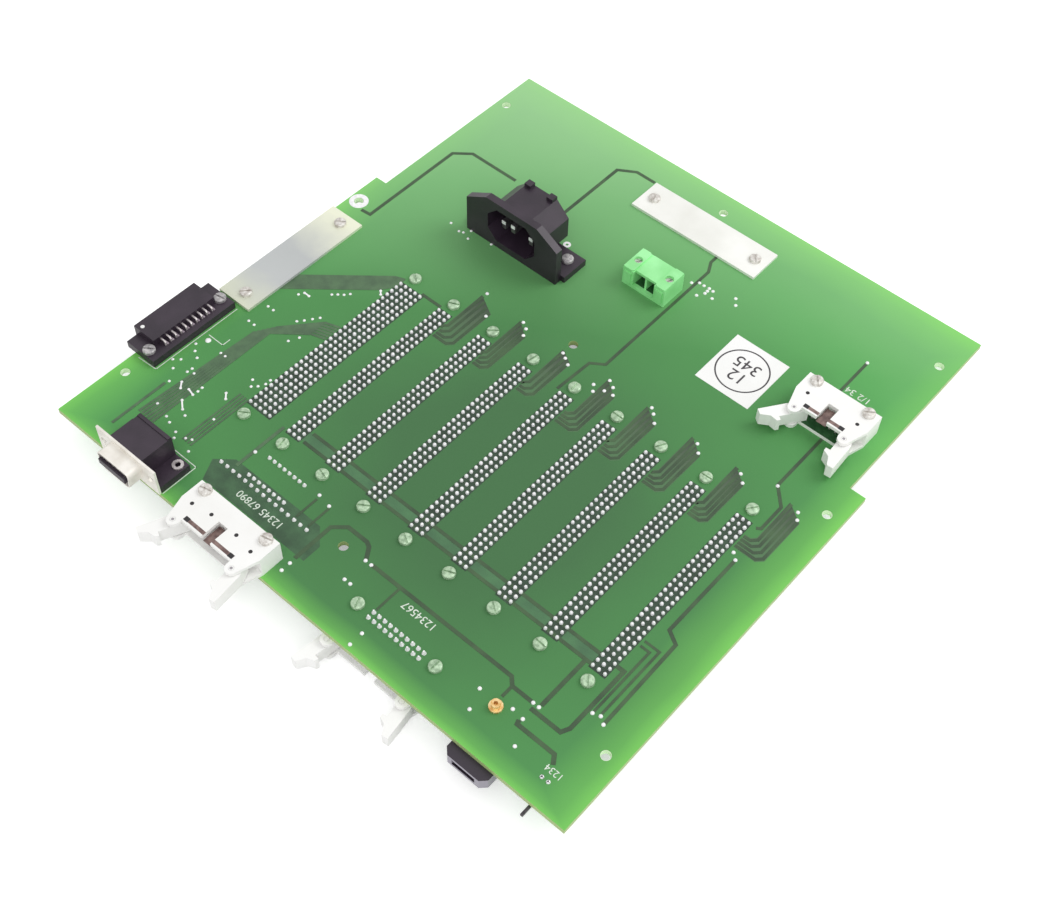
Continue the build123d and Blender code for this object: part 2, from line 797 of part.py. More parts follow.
serial_back_of_flange = serial_flange_y + serial_flange_thickness
serial_locks = [(serial_x + side * serial_lock_span / 2, serial_lock_y) for side in (-1, 1)]
with BuildPart() as serial_housing:
    with BuildSketch(Plane.XY):
        with Locations((serial_x, serial_back_of_flange)):
            Rectangle(
                serial_flange_width, serial_body_back_y - serial_back_of_flange, align=(Align.CENTER, Align.MIN)
            )
    extrude(amount=serial_foot_height)
    with BuildSketch(Plane.XY):
        with Locations((serial_x, serial_back_of_flange)):
            Rectangle(
                serial_body_width, serial_body_back_y - serial_back_of_flange, align=(Align.CENTER, Align.MIN)
            )
    extrude(amount=serial_flange_height)
    insulator = shell_outline(serial_shell_wall)
    extrude(insulator, amount=-serial_flange_thickness)
    extrude(insulator, amount=serial_insulator)
    with BuildSketch(Plane.XY.offset(serial_foot_height)):
        with Locations(*serial_locks):
            RegularPolygon(serial_lock_bore, shank_sides)
    extrude(amount=-serial_foot_height / 2, mode=Mode.SUBTRACT)
save(serial_housing.part, "serial_housing")

with BuildPart() as serial_locks_part:
    with BuildSketch(Plane.XY.offset(serial_foot_height)):
        with Locations(*serial_locks):
            RegularPolygon(serial_lock_radius, head_sides)
            RegularPolygon(serial_lock_bore, shank_sides, mode=Mode.SUBTRACT)
    extrude(amount=serial_lock_height)
save(serial_locks_part.part, "serial_boardlocks")

serial_pin_places = [((column - 2) * serial_pin_pitch, serial_middle + serial_row_gap / 2) for column in range(5)]
serial_pin_places += [((column - 1.5) * serial_pin_pitch, serial_middle - serial_row_gap / 2) for column in range(4)]
with BuildPart() as serial_pins:
    with BuildSketch(serial_front.offset(serial_insulator)):
        with Locations(*serial_pin_places):
            RegularPolygon(serial_pin_radius, 6)
    extrude(amount=serial_pin_length)
    with Locations(board_bottom):
        with Locations(*[(-serial_x + x, serial_tail_y - serial_middle + z) for x, z in serial_pin_places]):
            add(solder_cone(tail_radius, tail_height))
save(serial_pins.part, "serial_pins")

# Side edge connector
edge_cavity_length = edge_block_length - 2 * edge_end_wall
edge_cavity_height = edge_block_height - 2 * edge_side_wall
edge_cavity_depth = edge_block_depth - edge_back_wall
edge_back_x = edge_front_x + edge_block_depth
with BuildPart() as edge_connector_body:
    with BuildSketch(Plane.XY):
        with Locations((edge_base_front_x, edge_y)):
            Rectangle(edge_base_depth, edge_base_length, align=(Align.MIN, Align.CENTER))
        with Locations(*edge_screws):
            RegularPolygon(shank_hole_radius, shank_sides, mode=Mode.SUBTRACT)
    extrude(amount=edge_base_height)
    with BuildSketch(Plane.XY):
        with Locations((edge_front_x, edge_y)):
            Rectangle(edge_block_depth, edge_block_length, align=(Align.MIN, Align.CENTER))
    extrude(amount=edge_block_height)
    with BuildSketch(Plane(origin=(edge_front_x, edge_y, edge_block_height / 2), x_dir=(0, 1, 0), z_dir=(-1, 0, 0))):
        Rectangle(edge_cavity_length, edge_cavity_height)
    extrude(amount=-edge_cavity_depth, mode=Mode.SUBTRACT)
save(edge_connector_body.part, "edge_connector_body")

edge_mating_floor = Plane(
    origin=(edge_front_x + edge_cavity_depth, edge_y, edge_block_height / 2), x_dir=(0, 1, 0), z_dir=(-1, 0, 0)
)
with BuildPart() as edge_connector_pins:
    with BuildSketch(edge_mating_floor):
        with grid(edge_columns, 2, pin_pitch, pin_pitch):
            Rectangle(edge_pin_width, edge_pin_width)
    extrude(amount=edge_pin_length)
    for column in range(edge_columns):
        bend_y = edge_y + (column - (edge_columns - 1) / 2) * pin_pitch
        with BuildSketch(Plane(origin=(0, bend_y - edge_pin_width / 2, 0), x_dir=(1, 0, 0), z_dir=(0, -1, 0))):
            with BuildLine():
                Polyline(
                    (edge_back_x, edge_tail_rise),
                    (edge_back_x + edge_tail_gap - edge_pin_width, edge_tail_rise),
                    (edge_back_x + edge_tail_gap, edge_tail_rise - edge_pin_width),
                    (edge_back_x + edge_tail_gap, edge_base_height),
                    (edge_back_x + edge_tail_gap - edge_pin_width, edge_base_height),
                    (edge_back_x + edge_tail_gap - edge_pin_width, edge_tail_rise - edge_pin_width),
                    (edge_back_x, edge_tail_rise - edge_pin_width),
                    close=True,
                )
            make_face()
        extrude(amount=-edge_pin_width)
save(edge_connector_pins.part, "edge_connector_pins")
save(
    screw_set([(x, y, edge_base_height) for x, y in edge_screws], edge_base_height + board_thickness),
    "edge_connector_screws",
)

# Black socket under the front edge
with BuildPart() as front_socket_body:
    with BuildSketch(Plane.XY.offset(board_underside)) as socket_plan:
        with Locations((front_socket_x, board_front_y - front_socket_overhang)):
            Rectangle(front_socket_width, front_socket_depth, align=(Align.CENTER, Align.MIN))
        chamfer(socket_plan.vertices().group_by(Axis.Y)[0], front_socket_chamfer)
    extrude(amount=-front_socket_height)
    with BuildSketch(
        Plane(
            origin=(front_socket_x, board_front_y - front_socket_overhang, board_underside - front_socket_height / 2),
            x_dir=(1, 0, 0),
            z_dir=(0, -1, 0),
        )
    ):
        Rectangle(front_mouth_width, front_mouth_height)
    extrude(amount=-front_mouth_depth, mode=Mode.SUBTRACT)
save(front_socket_body.part, "front_socket_body")

# Small pin strip under the front edge
strip_front_y = strip_y - strip_depth / 2
with BuildPart() as pin_strip_body:
    with BuildSketch(Plane.XY.offset(board_underside)):
        with Locations((strip_x, strip_y)):
            Rectangle(2 * pin_pitch, strip_depth)
    extrude(amount=-strip_height)
save(pin_strip_body.part, "pin_strip_body")

strip_mouth = Plane(
    origin=(strip_x, strip_front_y, board_underside - strip_height / 2), x_dir=(1, 0, 0), z_dir=(0, -1, 0)
)
with BuildPart() as pin_strip_pins:
    with BuildSketch(strip_mouth):
        with Locations((pin_pitch / 2, 0)):
            Rectangle(strip_pin_width, strip_pin_width)
    extrude(amount=strip_front_y - board_front_y + strip_pin_overhang)
    with BuildSketch(strip_mouth):
        with Locations((-pin_pitch / 2, 0)):
            Rectangle(strip_pin_width, strip_pin_width)
    extrude(amount=strip_short_pin)
    with Locations(*[(strip_x + side * pin_pitch / 2, strip_y) for side in (-1, 1)]):
        add(solder_cone(small_tail_radius, small_tail_height))
save(pin_strip_pins.part, "pin_strip_pins")

# Turned gold terminal
with BuildPart() as gold_terminal:
    with BuildSketch(Plane.XY):
        with Locations((gold_x, gold_y)):
            RegularPolygon(gold_base_radius, gold_sides)
    extrude(amount=gold_base_height)
    with BuildSketch(Plane.XY.offset(gold_base_height)):
        with Locations((gold_x, gold_y)):
            RegularPolygon(gold_top_radius, gold_sides)
    extrude(amount=gold_height - gold_base_height)
    with BuildSketch(Plane.XY.offset(gold_height)):
        with Locations((gold_x, gold_y)):
            RegularPolygon(gold_bore_radius, gold_sides)
    extrude(amount=-gold_bore_depth, mode=Mode.SUBTRACT)
save(gold_terminal.part, "gold_terminal")

# Plain label
with BuildPart() as inspection_label:
    with BuildSketch(Plane.XY):
        with Locations((label_x, label_y)):
            Rectangle(label_width, label_length)
    extrude(amount=label_thickness)
save(inspection_label.part, "inspection_label")

# Sixteen-lead package under the board
with BuildPart() as lead_package_body:
    with BuildSketch(Plane.XY.offset(board_underside - package_standoff)):
        with Locations((package_x, package_y)):
            Rectangle(package_length, package_width)
    extrude(amount=-package_height)
save(lead_package_body.part, "lead_package_body")

package_rows = [(package_x, package_y + side * package_row_gap / 2, side) for side in (-1, 1)]
with BuildPart() as lead_package_leads:
    for row_x, row_y, side in package_rows:
        with BuildSketch(Plane.XY.offset(board_underside)):
            with Locations((row_x, row_y)):
                with grid(package_columns, 1, pin_pitch, pin_pitch):
                    Rectangle(lead_width, lead_width)
        extrude(amount=-package_standoff - package_height / 2)
        with BuildSketch(Plane.XY.offset(board_underside - package_standoff - package_height / 2)):
            reach = (package_row_gap - package_width) / 2 + lead_width / 2
            with Locations((row_x, row_y + side * lead_width / 2)):
                with grid(package_columns, 1, pin_pitch, pin_pitch):
                    Rectangle(lead_width, reach, align=(Align.CENTER, Align.MAX if side > 0 else Align.MIN))
        extrude(amount=-lead_width / 2)
    with Locations(*[(x, y) for x, y, side in package_rows]):
        with grid(package_columns, 1, pin_pitch, pin_pitch):
            add(solder_cone(small_tail_radius, small_tail_height))
save(lead_package_leads.part, "lead_package_leads")

# Fifteen-way strip under the board
with BuildPart() as row_strip_body:
    with BuildSketch(Plane.XY.offset(board_underside)):
        with Locations((row_strip_x, row_strip_y)):
            Rectangle(row_strip_columns * row_strip_pitch, row_strip_width)
    extrude(amount=-row_strip_height)
save(row_strip_body.part, "row_strip_body")
row_strip_tails = [
    (row_strip_x + (column - (row_strip_columns - 1) / 2) * row_strip_pitch, row_strip_y)
    for column in range(row_strip_columns)
]
save(cones(board_top, row_strip_tails, small_tail_radius, small_tail_height), "row_strip_tails")
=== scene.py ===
import itertools
import math
import random

import bmesh
import bpy
from mathutils import Matrix, Vector


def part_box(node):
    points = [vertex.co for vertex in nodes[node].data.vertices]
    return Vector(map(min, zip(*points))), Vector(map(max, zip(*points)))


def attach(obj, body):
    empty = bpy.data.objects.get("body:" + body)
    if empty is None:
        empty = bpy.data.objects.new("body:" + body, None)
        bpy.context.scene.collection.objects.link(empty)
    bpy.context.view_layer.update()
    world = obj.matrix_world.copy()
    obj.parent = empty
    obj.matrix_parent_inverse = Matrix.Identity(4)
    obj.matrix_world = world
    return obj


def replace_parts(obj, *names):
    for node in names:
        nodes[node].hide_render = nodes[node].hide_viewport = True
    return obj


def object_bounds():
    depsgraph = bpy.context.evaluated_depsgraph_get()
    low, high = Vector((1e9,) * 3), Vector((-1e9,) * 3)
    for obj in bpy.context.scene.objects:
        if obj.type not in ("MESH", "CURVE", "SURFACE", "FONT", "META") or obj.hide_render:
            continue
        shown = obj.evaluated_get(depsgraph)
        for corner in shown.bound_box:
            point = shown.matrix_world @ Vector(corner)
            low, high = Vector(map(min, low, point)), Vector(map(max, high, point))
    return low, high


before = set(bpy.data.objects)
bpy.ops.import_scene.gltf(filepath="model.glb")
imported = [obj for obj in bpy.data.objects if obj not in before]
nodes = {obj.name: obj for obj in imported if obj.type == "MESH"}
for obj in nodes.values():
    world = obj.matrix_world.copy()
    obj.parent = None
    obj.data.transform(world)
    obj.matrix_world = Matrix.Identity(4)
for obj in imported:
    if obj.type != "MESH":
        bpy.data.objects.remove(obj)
cad_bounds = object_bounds()
random.seed(7)
MM = 0.001


# Places in millimetres, taken from the frame
def box_mm(name):
    """The lowest and the highest corner of a node, to a thousandth."""
    return [[round(value / MM, 3) for value in corner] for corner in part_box(name)]


def middle_mm(name):
    low, high = box_mm(name)
    return [(a + b) / 2 for a, b in zip(low, high)]


def header_places(name):
    """A ribbon header's middle, its pin line and the reach of its screws from the middle."""
    low, high = box_mm(f"{name}_header_body")
    return (low[0] + high[0]) / 2, high[1] - 2.2, (high[0] - low[0]) / 2 - 4.3


def spread(count, pitch):
    """Offsets of a row of places from its middle."""
    return [(index - (count - 1) / 2) * pitch for index in range(count)]


PITCH = 2.54
SLOT_X = [middle_mm(f"card_socket_{number}")[0] for number in range(1, 9)]
WIDE_SLOT_X = middle_mm("wide_card_socket")[0]
SLOT_CONTACTS = 32
BOARD_UNDERSIDE = box_mm("circuit_board")[0][2]
# Routes and pads are laid out from the near left tail of the right-hand slot
GRID_X = SLOT_X[0] - PITCH
GRID_Y = spread(SLOT_CONTACTS, PITCH)[0]
IO_X, IO_Y, IO_SCREW_REACH = header_places("io")
PANEL_X, PANEL_Y, PANEL_SCREW_REACH = header_places("panel")
DISPLAY_X, DISPLAY_Y, DISPLAY_SCREW_REACH = header_places("display")
HEADER_TOP = box_mm("io_header_body")[1][2]
INLET_X = middle_mm("mains_inlet_housing")[0]
SERIAL_X = middle_mm("serial_housing")[0]
SERIAL_REAR, SERIAL_TOP = box_mm("serial_housing")[1][1:]
SERIAL_FRONT = box_mm("serial_shell")[0][1]
EDGE_Y = middle_mm("edge_connector_body")[1]
EDGE_TOP = box_mm("edge_connector_body")[1][2]
TERMINAL_X, TERMINAL_Y = middle_mm("power_terminal_housing")[:2]
TERMINAL_FRONT = box_mm("power_terminal_housing")[0][1]
TERMINAL_REAR, TERMINAL_TOP = box_mm("power_terminal_housing")[1][1:]
LABEL_X, LABEL_Y = middle_mm("inspection_label")[:2]
LABEL_TOP = box_mm("inspection_label")[1][2]
SIDE_PLATE_Y = middle_mm("side_plate")[1]
REAR_PLATE_X, REAR_PLATE_Y = middle_mm("rear_plate")[:2]
PLATE_TOP = box_mm("rear_plate")[1][2]
PIN_STRIP_X, PIN_STRIP_Y = middle_mm("pin_strip_body")[:2]
ROW_STRIP_X, ROW_STRIP_Y = middle_mm("row_strip_body")[:2]
PACKAGE_X, PACKAGE_Y = middle_mm("lead_package_body")[:2]


# Shader parts
def add_node(tree, kind, **settings):
    node = tree.nodes.new(kind)
    for key, value in settings.items():
        if key in node.inputs:
            node.inputs[key].default_value = value
        else:
            setattr(node, key, value)
    return node


def math_node(tree, operation, *values):
    node = add_node(tree, "ShaderNodeMath", operation=operation)
    for index, value in enumerate(values):
        if isinstance(value, (int, float)):
            node.inputs[index].default_value = value
        else:
            tree.links.new(value, node.inputs[index])
    return node.outputs[0]


def object_axes(tree):
    """The place on the part, in metres, as its X, Y and Z."""
    place = add_node(tree, "ShaderNodeTexCoord")
    axes = add_node(tree, "ShaderNodeSeparateXYZ")
    tree.links.new(place.outputs["Object"], axes.inputs[0])
    return axes.outputs


def levelness(tree):
    """1 on a level face and 0 on an upright one."""
    geometry = add_node(tree, "ShaderNodeNewGeometry")
    axes = add_node(tree, "ShaderNodeSeparateXYZ")
    tree.links.new(geometry.outputs["Normal"], axes.inputs[0])
    return math_node(tree, "ABSOLUTE", axes.outputs["Z"])


def object_noise(tree, scale, detail=4.0):
    place = add_node(tree, "ShaderNodeTexCoord")
    noise = add_node(tree, "ShaderNodeTexNoise", Scale=scale, Detail=detail)
    tree.links.new(place.outputs["Object"], noise.inputs["Vector"])
    return noise.outputs["Fac"]


def ramp(tree, value, stops):
    node = add_node(tree, "ShaderNodeValToRGB")
    for element, (position, colour) in zip(node.color_ramp.elements, (stops[0], stops[-1])):
        element.position = position
        element.color = (*colour, 1)
    for position, colour in stops[1:-1]:
        node.color_ramp.elements.new(position).color = (*colour, 1)
    tree.links.new(value, node.inputs["Fac"])
    return node.outputs["Color"]


def painted(tree, under, colour, factor):
    """A colour laid over another one, as strongly as the factor says."""
    mix = add_node(tree, "ShaderNodeMix", data_type="RGBA")
    tree.links.new(factor, mix.inputs["Factor"])
    tree.links.new(under, mix.inputs["A"])
    mix.inputs["B"].default_value = (*colour, 1)
    return mix.outputs["Result"]


def bump(tree, shader, value, distance):
    node = add_node(tree, "ShaderNodeBump", Distance=distance, Strength=1.0)
    tree.links.new(value, node.inputs["Height"])
    tree.links.new(node.outputs["Normal"], shader.inputs["Normal"])


# Kinds of material
def principled(name, colour, roughness, metallic=0.0):
    made = bpy.data.materials.new(name)
    made.use_nodes = True
    shader = made.node_tree.nodes["Principled BSDF"]
    shader.inputs["Base Color"].default_value = (*colour, 1)
    shader.inputs["Roughness"].default_value = roughness
    shader.inputs["Metallic"].default_value = metallic
    return made, made.node_tree, shader


def plain(name, colour, roughness):
    return principled(name, colour, roughness)[0]


def mottled(name, dark, light, roughness, scale, metallic=0.0):
    made, tree, shader = principled(name, light, roughness, metallic)
    tone = object_noise(tree, scale)
    tree.links.new(ramp(tree, tone, [(0.35, dark), (0.65, light)]), shader.inputs["Base Color"])
    bump(tree, shader, object_noise(tree, 2500.0, 2.0), 0.03 * MM)
    return made


def graded(name, axis, low, high, stops, roughness, metallic=0.0):
    """A slightly uneven colour that runs along one axis of the part, from low to high in millimetres."""
    unevenness = 0.16
    made, tree, shader = principled(name, stops[0][1], roughness, metallic)
    start = -low / (high - low) - unevenness / 2
    run = math_node(tree, "MULTIPLY_ADD", object_axes(tree)[axis], 1 / (high - low) / MM, start)
    tone = math_node(tree, "MULTIPLY_ADD", object_noise(tree, 120.0), unevenness, run)
    tree.links.new(ramp(tree, tone, stops), shader.inputs["Base Color"])
    return made


def front_socket_material():
    """Black plastic whose upright faces shine lilac-grey."""
    made, tree, shader = principled("front_socket_plastic", (0.03, 0.02, 0.03), 0.35)
    stops = [(0.3, (0.34, 0.32, 0.38)), (0.7, (0.030, 0.022, 0.034))]
    tree.links.new(ramp(tree, levelness(tree), stops), shader.inputs["Base Color"])
    return made


MASK_STOPS = [
    (0.18, (0.062, 0.17, 0.066)),
    (0.50, (0.082, 0.28, 0.084)),
    (0.72, (0.105, 0.38, 0.105)),
    (1.0, (0.19, 0.50, 0.17)),
]
GLOW_STOPS = [(0.14, (0.8,) * 3), (0.42, (0.36,) * 3), (1.0, (0,) * 3)]
GLOW_COLOUR = (0.22, 0.66, 0.12)
PALE_REAR_COLOUR = (0.46, 0.72, 0.42)
CUT_EDGE_COLOUR = (0.40, 0.52, 0.22)


def mask_tone(tree, x, y):
    """0 at the middle of the darkest field, over the slots, and 1 well outside it, with some cloud."""
    middle, reach = (0.020, -0.010), (0.115, 0.100)
    across = math_node(tree, "MULTIPLY", math_node(tree, "SUBTRACT", x, middle[0]), 1 / reach[0])
    along = math_node(tree, "MULTIPLY", math_node(tree, "SUBTRACT", y, middle[1]), 1 / reach[1])
    square = math_node(tree, "MULTIPLY_ADD", across, across, math_node(tree, "MULTIPLY", along, along))
    cloud = math_node(tree, "MULTIPLY_ADD", object_noise(tree, 16.0), 0.22, -0.11)
    return math_node(tree, "MULTIPLY_ADD", math_node(tree, "SQRT", square), 0.5, cloud)


def edge_distance(tree, x, y):
    """Metres from the board's nearest edge, with more to a metre at the front, where the glow is narrow."""
    front_factor = 2.1
    low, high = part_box("circuit_board")
    from_middle = math_node(tree, "ABSOLUTE", math_node(tree, "SUBTRACT", x, (low[0] + high[0]) / 2))
    side = math_node(tree, "SUBTRACT", (high[0] - low[0]) / 2, from_middle)
    front = math_node(tree, "MULTIPLY_ADD", y, front_factor, -low[1] * front_factor)
    back = math_node(tree, "SUBTRACT", high[1], y)
    return math_node(tree, "MINIMUM", side, math_node(tree, "MINIMUM", front, back))


def rear_paleness(tree, x, y):
    """0 over most of the board, and up to a half at its rear left."""
    start, slant, slope, most = 0.068, -0.6, 3.0, 0.5
    past = math_node(tree, "MULTIPLY_ADD", x, slant, math_node(tree, "SUBTRACT", y, start))
    pale = math_node(tree, "MAXIMUM", math_node(tree, "MULTIPLY", past, slope), 0.0)
    return math_node(tree, "MINIMUM", pale, most)


def board_material():
    """Solder mask: darker around the slots, paler at the rear left and glowing at the board's edges."""
    made, tree, shader = principled("solder_mask", (0.1, 0.4, 0.12), 0.46)
    shader.inputs["Specular IOR Level"].default_value = 0.22
    axes = object_axes(tree)
    x, y = axes["X"], axes["Y"]
    face = ramp(tree, mask_tone(tree, x, y), MASK_STOPS)
    uneven = math_node(tree, "MULTIPLY_ADD", object_noise(tree, 22.0, 2.0), 0.006, edge_distance(tree, x, y))
    glow = ramp(tree, math_node(tree, "MULTIPLY", uneven, 50.0), GLOW_STOPS)
    face = painted(tree, face, GLOW_COLOUR, glow)
    face = painted(tree, face, PALE_REAR_COLOUR, rear_paleness(tree, x, y))
    upright = math_node(tree, "LESS_THAN", levelness(tree), 0.5)
    face = painted(tree, face, CUT_EDGE_COLOUR, upright)
    tree.links.new(face, shader.inputs["Base Color"])
    bump(tree, shader, object_noise(tree, 1400.0, 2.0), 0.02 * MM)
    return made


# Copper and printing on the board
MASK = board_material()
COPPER_UNDER_MASK = mottled("copper_under_mask", (0.032, 0.066, 0.030), (0.055, 0.115, 0.046), 0.45, 90.0)
GROUP_STOPS = [(0.1, (0.070, 0.165, 0.068)), (0.55, (0.072, 0.120, 0.066)), (0.95, (0.036, 0.056, 0.036))]
GROUP_BAND = graded("track_group_band", "Y", 32.0, 57.0, GROUP_STOPS, 0.45)
HEADER_FIELD = mottled("header_field", (0.030, 0.080, 0.036), (0.052, 0.135, 0.058), 0.45, 160.0)
HOLE_GLOW = plain("lit_hole_wall", (0.80, 1.0, 0.70), 0.6)
BUNDLE = mottled("fine_tracks_under_mask", (0.060, 0.12, 0.060), (0.085, 0.17, 0.080), 0.45, 200.0)
SHADE_FIELD = mottled("clearance_field", (0.020, 0.042, 0.024), (0.034, 0.075, 0.040), 0.5, 160.0)
BAND = mottled("power_band", (0.050, 0.14, 0.062), (0.068, 0.19, 0.078), 0.45, 120.0)
LEGEND = mottled("legend_ink", (0.62, 0.72, 0.60), (0.78, 0.84, 0.76), 0.6, 500.0)
PAPER = mottled("label_paper", (0.86, 0.86, 0.84), (0.92, 0.92, 0.91), 0.7, 30.0)
INK = plain("ink", (0.05, 0.045, 0.05), 0.6)

# Metals
SOLDER = mottled("solder", (0.84, 0.83, 0.86), (1.0, 1.0, 1.0), 0.34, 900.0, 0.1)
PIN_METAL = mottled("tinned_pins", (0.50, 0.45, 0.45), (0.72, 0.68, 0.68), 0.34, 900.0, 0.5)
STEEL = mottled("zinc_screws", (0.28, 0.41, 0.26), (0.54, 0.72, 0.50), 0.38, 700.0, 0.25)
GREY_STEEL = mottled("grey_screws", (0.28, 0.27, 0.28), (0.58, 0.56, 0.56), 0.38, 700.0, 0.3)
PALE_STEEL = mottled("pale_screws", (0.50, 0.46, 0.42), (0.84, 0.82, 0.78), 0.38, 700.0, 0.25)
# Painted reflection on the side plate: greenish pale at both ends of its run along Y and greyer in the middle
PLATE_REFLECTION_STOPS = [
    (0.0, (0.70, 0.73, 0.57)),
    (0.30, (0.53, 0.55, 0.55)),
    (0.55, (0.50, 0.52, 0.52)),
    (0.90, (0.86, 0.88, 0.70)),
]
PLATE = graded("side_plate_metal", "Y", -12.0, 54.0, PLATE_REFLECTION_STOPS, 0.46, 0.2)
REAR_PLATE = mottled("rear_plate_metal", (0.82, 0.82, 0.77), (0.94, 0.94, 0.90), 0.5, 40.0, 0.1)
# Near-black metal: on the inlet's blades this is painted shade, for the shade deep inside the inlet; the pin
# strip's pins share it
BLADE = mottled("blade_metal", (0.05, 0.045, 0.05), (0.12, 0.11, 0.12), 0.4, 500.0, 0.4)
SHELL = mottled("shell_metal", (0.78, 0.74, 0.67), (0.95, 0.92, 0.86), 0.4, 150.0, 0.15)
GOLD = mottled("gold", (0.72, 0.40, 0.12), (0.98, 0.76, 0.40), 0.3, 600.0, 0.5)
CONTACT_PINK = mottled("contact_fold", (0.30, 0.24, 0.29), (0.52, 0.44, 0.50), 0.45, 600.0)

# Plastics and the shade in their openings
WHITE = mottled("white_plastic", (0.90, 0.895, 0.87), (0.97, 0.97, 0.955), 0.42, 40.0)
SOCKET = mottled("socket_plastic", (0.52, 0.50, 0.42), (0.60, 0.58, 0.50), 0.5, 50.0)
BLACK = mottled("black_plastic", (0.020, 0.012, 0.022), (0.040, 0.026, 0.042), 0.40, 60.0)
GREEN = mottled("terminal_plastic", (0.27, 0.76, 0.28), (0.38, 0.92, 0.40), 0.42, 90.0)
FRONT_SOCKET = front_socket_material()
# Painted shade: dark green for the shaded floors and walls inside mouths
MOUTH_SHADE_GREEN = mottled("painted_mouth_shade", (0.012, 0.075, 0.020), (0.03, 0.13, 0.04), 0.6, 300.0)
BROWN = mottled("slot_shade", (0.12, 0.07, 0.065), (0.27, 0.18, 0.16), 0.5, 500.0)
SHADOW = plain("recess", (0.03, 0.028, 0.03), 0.8)
PIVOT_SHADE = plain("pivot_shade_grey", (0.34, 0.32, 0.34), 0.6)


# Mesh helpers, all in millimetres
def finish_mesh(name, mesh, material, smooth=True):
    data = bpy.data.meshes.new(name)
    mesh.normal_update()
    mesh.to_mesh(data)
    mesh.free()
    made = bpy.data.objects.new(name, data)
    bpy.context.scene.collection.objects.link(made)
    data.materials.append(material)
    for face in data.polygons:
        face.use_smooth = smooth
    if smooth:
        data.set_sharp_from_angle(angle=math.radians(38))
    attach(made, "board")
    return made


def ring(mesh, centre, radius, height, sides, turn=0.0):
    vertices = []
    for index in range(sides):
        angle = turn + 2 * math.pi * index / sides
        point = Vector((radius * math.cos(angle), radius * math.sin(angle), height))
        vertices.append(mesh.verts.new((Vector(centre) + point) * MM))
    return vertices


def bridge(mesh, lower, upper):
    count = len(lower)
    for index in range(count):
        following = (index + 1) % count
        mesh.faces.new((lower[index], lower[following], upper[following], upper[index]))


def sleeve(mesh, rings):
    """Bridges each ring to the next and the last to the first, round a hole."""
    for lower, upper in zip(rings, rings[1:] + rings[:1]):
        bridge(mesh, lower, upper)


def stack(mesh, rings):
    """Bridges each ring to the next and closes both ends."""
    for lower, upper in zip(rings, rings[1:]):
        bridge(mesh, lower, upper)
    mesh.faces.new(rings[-1])
    mesh.faces.new(list(reversed(rings[0])))


def turned(mesh, centre, profile, sides, turn=0.0):
    stack(mesh, [ring(mesh, centre, radius, height, sides, turn) for radius, height in profile])


def washer(mesh, centre, inner, outer, low, high, sides=32):
    profile = ((outer, low), (outer, high), (inner, high), (inner, low))
    sleeve(mesh, [ring(mesh, centre, radius, height, sides) for radius, height in profile])


def level_outline(mesh, outline, level):
    return [mesh.verts.new((point[0] * MM, point[1] * MM, level * MM)) for point in outline]


def prism(mesh, outline, low, high):
    stack(mesh, [level_outline(mesh, outline, low), level_outline(mesh, outline, high)])


def block(mesh, low, high):
    corners = [(low[0], low[1]), (high[0], low[1]), (high[0], high[1]), (low[0], high[1])]
    prism(mesh, corners, low[2], high[2])


def holed_plate(mesh, centre, half_x, half_y, hole_x, radius, low, high, sides=32):
    """An oblong plate with a round hole on its middle line."""
    hole = Vector((hole_x, centre[1], 0))
    inner, outer = [], []
    for index in range(sides):
        angle = 2 * math.pi * index / sides
        way = Vector((math.cos(angle), math.sin(angle), 0))
        reach_x = (half_x + math.copysign(1, way.x) * (centre[0] - hole_x)) / max(abs(way.x), 1e-6)
        reach = min(reach_x, half_y / max(abs(way.y), 1e-6))
        inner.append(hole + way * radius)
        outer.append(hole + way * reach)
    levels = ((outer, low), (outer, high), (inner, high), (inner, low))
    sleeve(mesh, [level_outline(mesh, outline, level) for outline, level in levels])


TRACK_HEIGHT = 0.05
LEVEL_STEP = 0.0009
track_levels = itertools.count(1)


def on_grid(x, y):
    return GRID_X + x, GRID_Y + y, 0


def route(mesh, points, width, height=TRACK_HEIGHT):
    """A flat strip along a route with mitred corners, each at a level of its own."""
    spots = [Vector(on_grid(x, y)) for x, y in points]
    runs = [(end - start).normalized() for start, end in zip(spots, spots[1:])]
    top = height + LEVEL_STEP * next(track_levels)
    rails = []
    for index, spot in enumerate(spots):
        before, after = runs[max(index - 1, 0)], runs[min(index, len(runs) - 1)]
        mean = (before + after).normalized()
        across = Vector((-mean.y, mean.x, 0)) * (width / 2 / max(mean.dot(after), 0.5))
        rail = []
        for corner in (spot - across, spot + across):
            rail += [mesh.verts.new((corner.x * MM, corner.y * MM, level * MM)) for level in (0.0, top)]
        rails.append(rail)
    for low, high in zip(rails, rails[1:]):
        mesh.faces.new((low[1], high[1], high[3], low[3]))
        mesh.faces.new((low[0], high[0], high[1], low[1]))
        mesh.faces.new((low[3], high[3], high[2], low[2]))
    first, last = rails[0], rails[-1]
    mesh.faces.new((first[0], first[1], first[3], first[2]))
    mesh.faces.new((last[1], last[0], last[2], last[3]))


# Finish of each CAD piece that stays in view
def dress(name, material, bevel=0.0, segments=2):
    node = nodes[name]
    node.data.materials.clear()
    node.data.materials.append(material)
    for face in node.data.polygons:
        face.use_smooth = bevel > 0
    if bevel:
        edge = node.modifiers.new("soft_edges", "BEVEL")
        edge.width = bevel * MM
        edge.segments = segments
        edge.limit_method = "ANGLE"
        edge.angle_limit = math.radians(35)
        edge.harden_normals = True


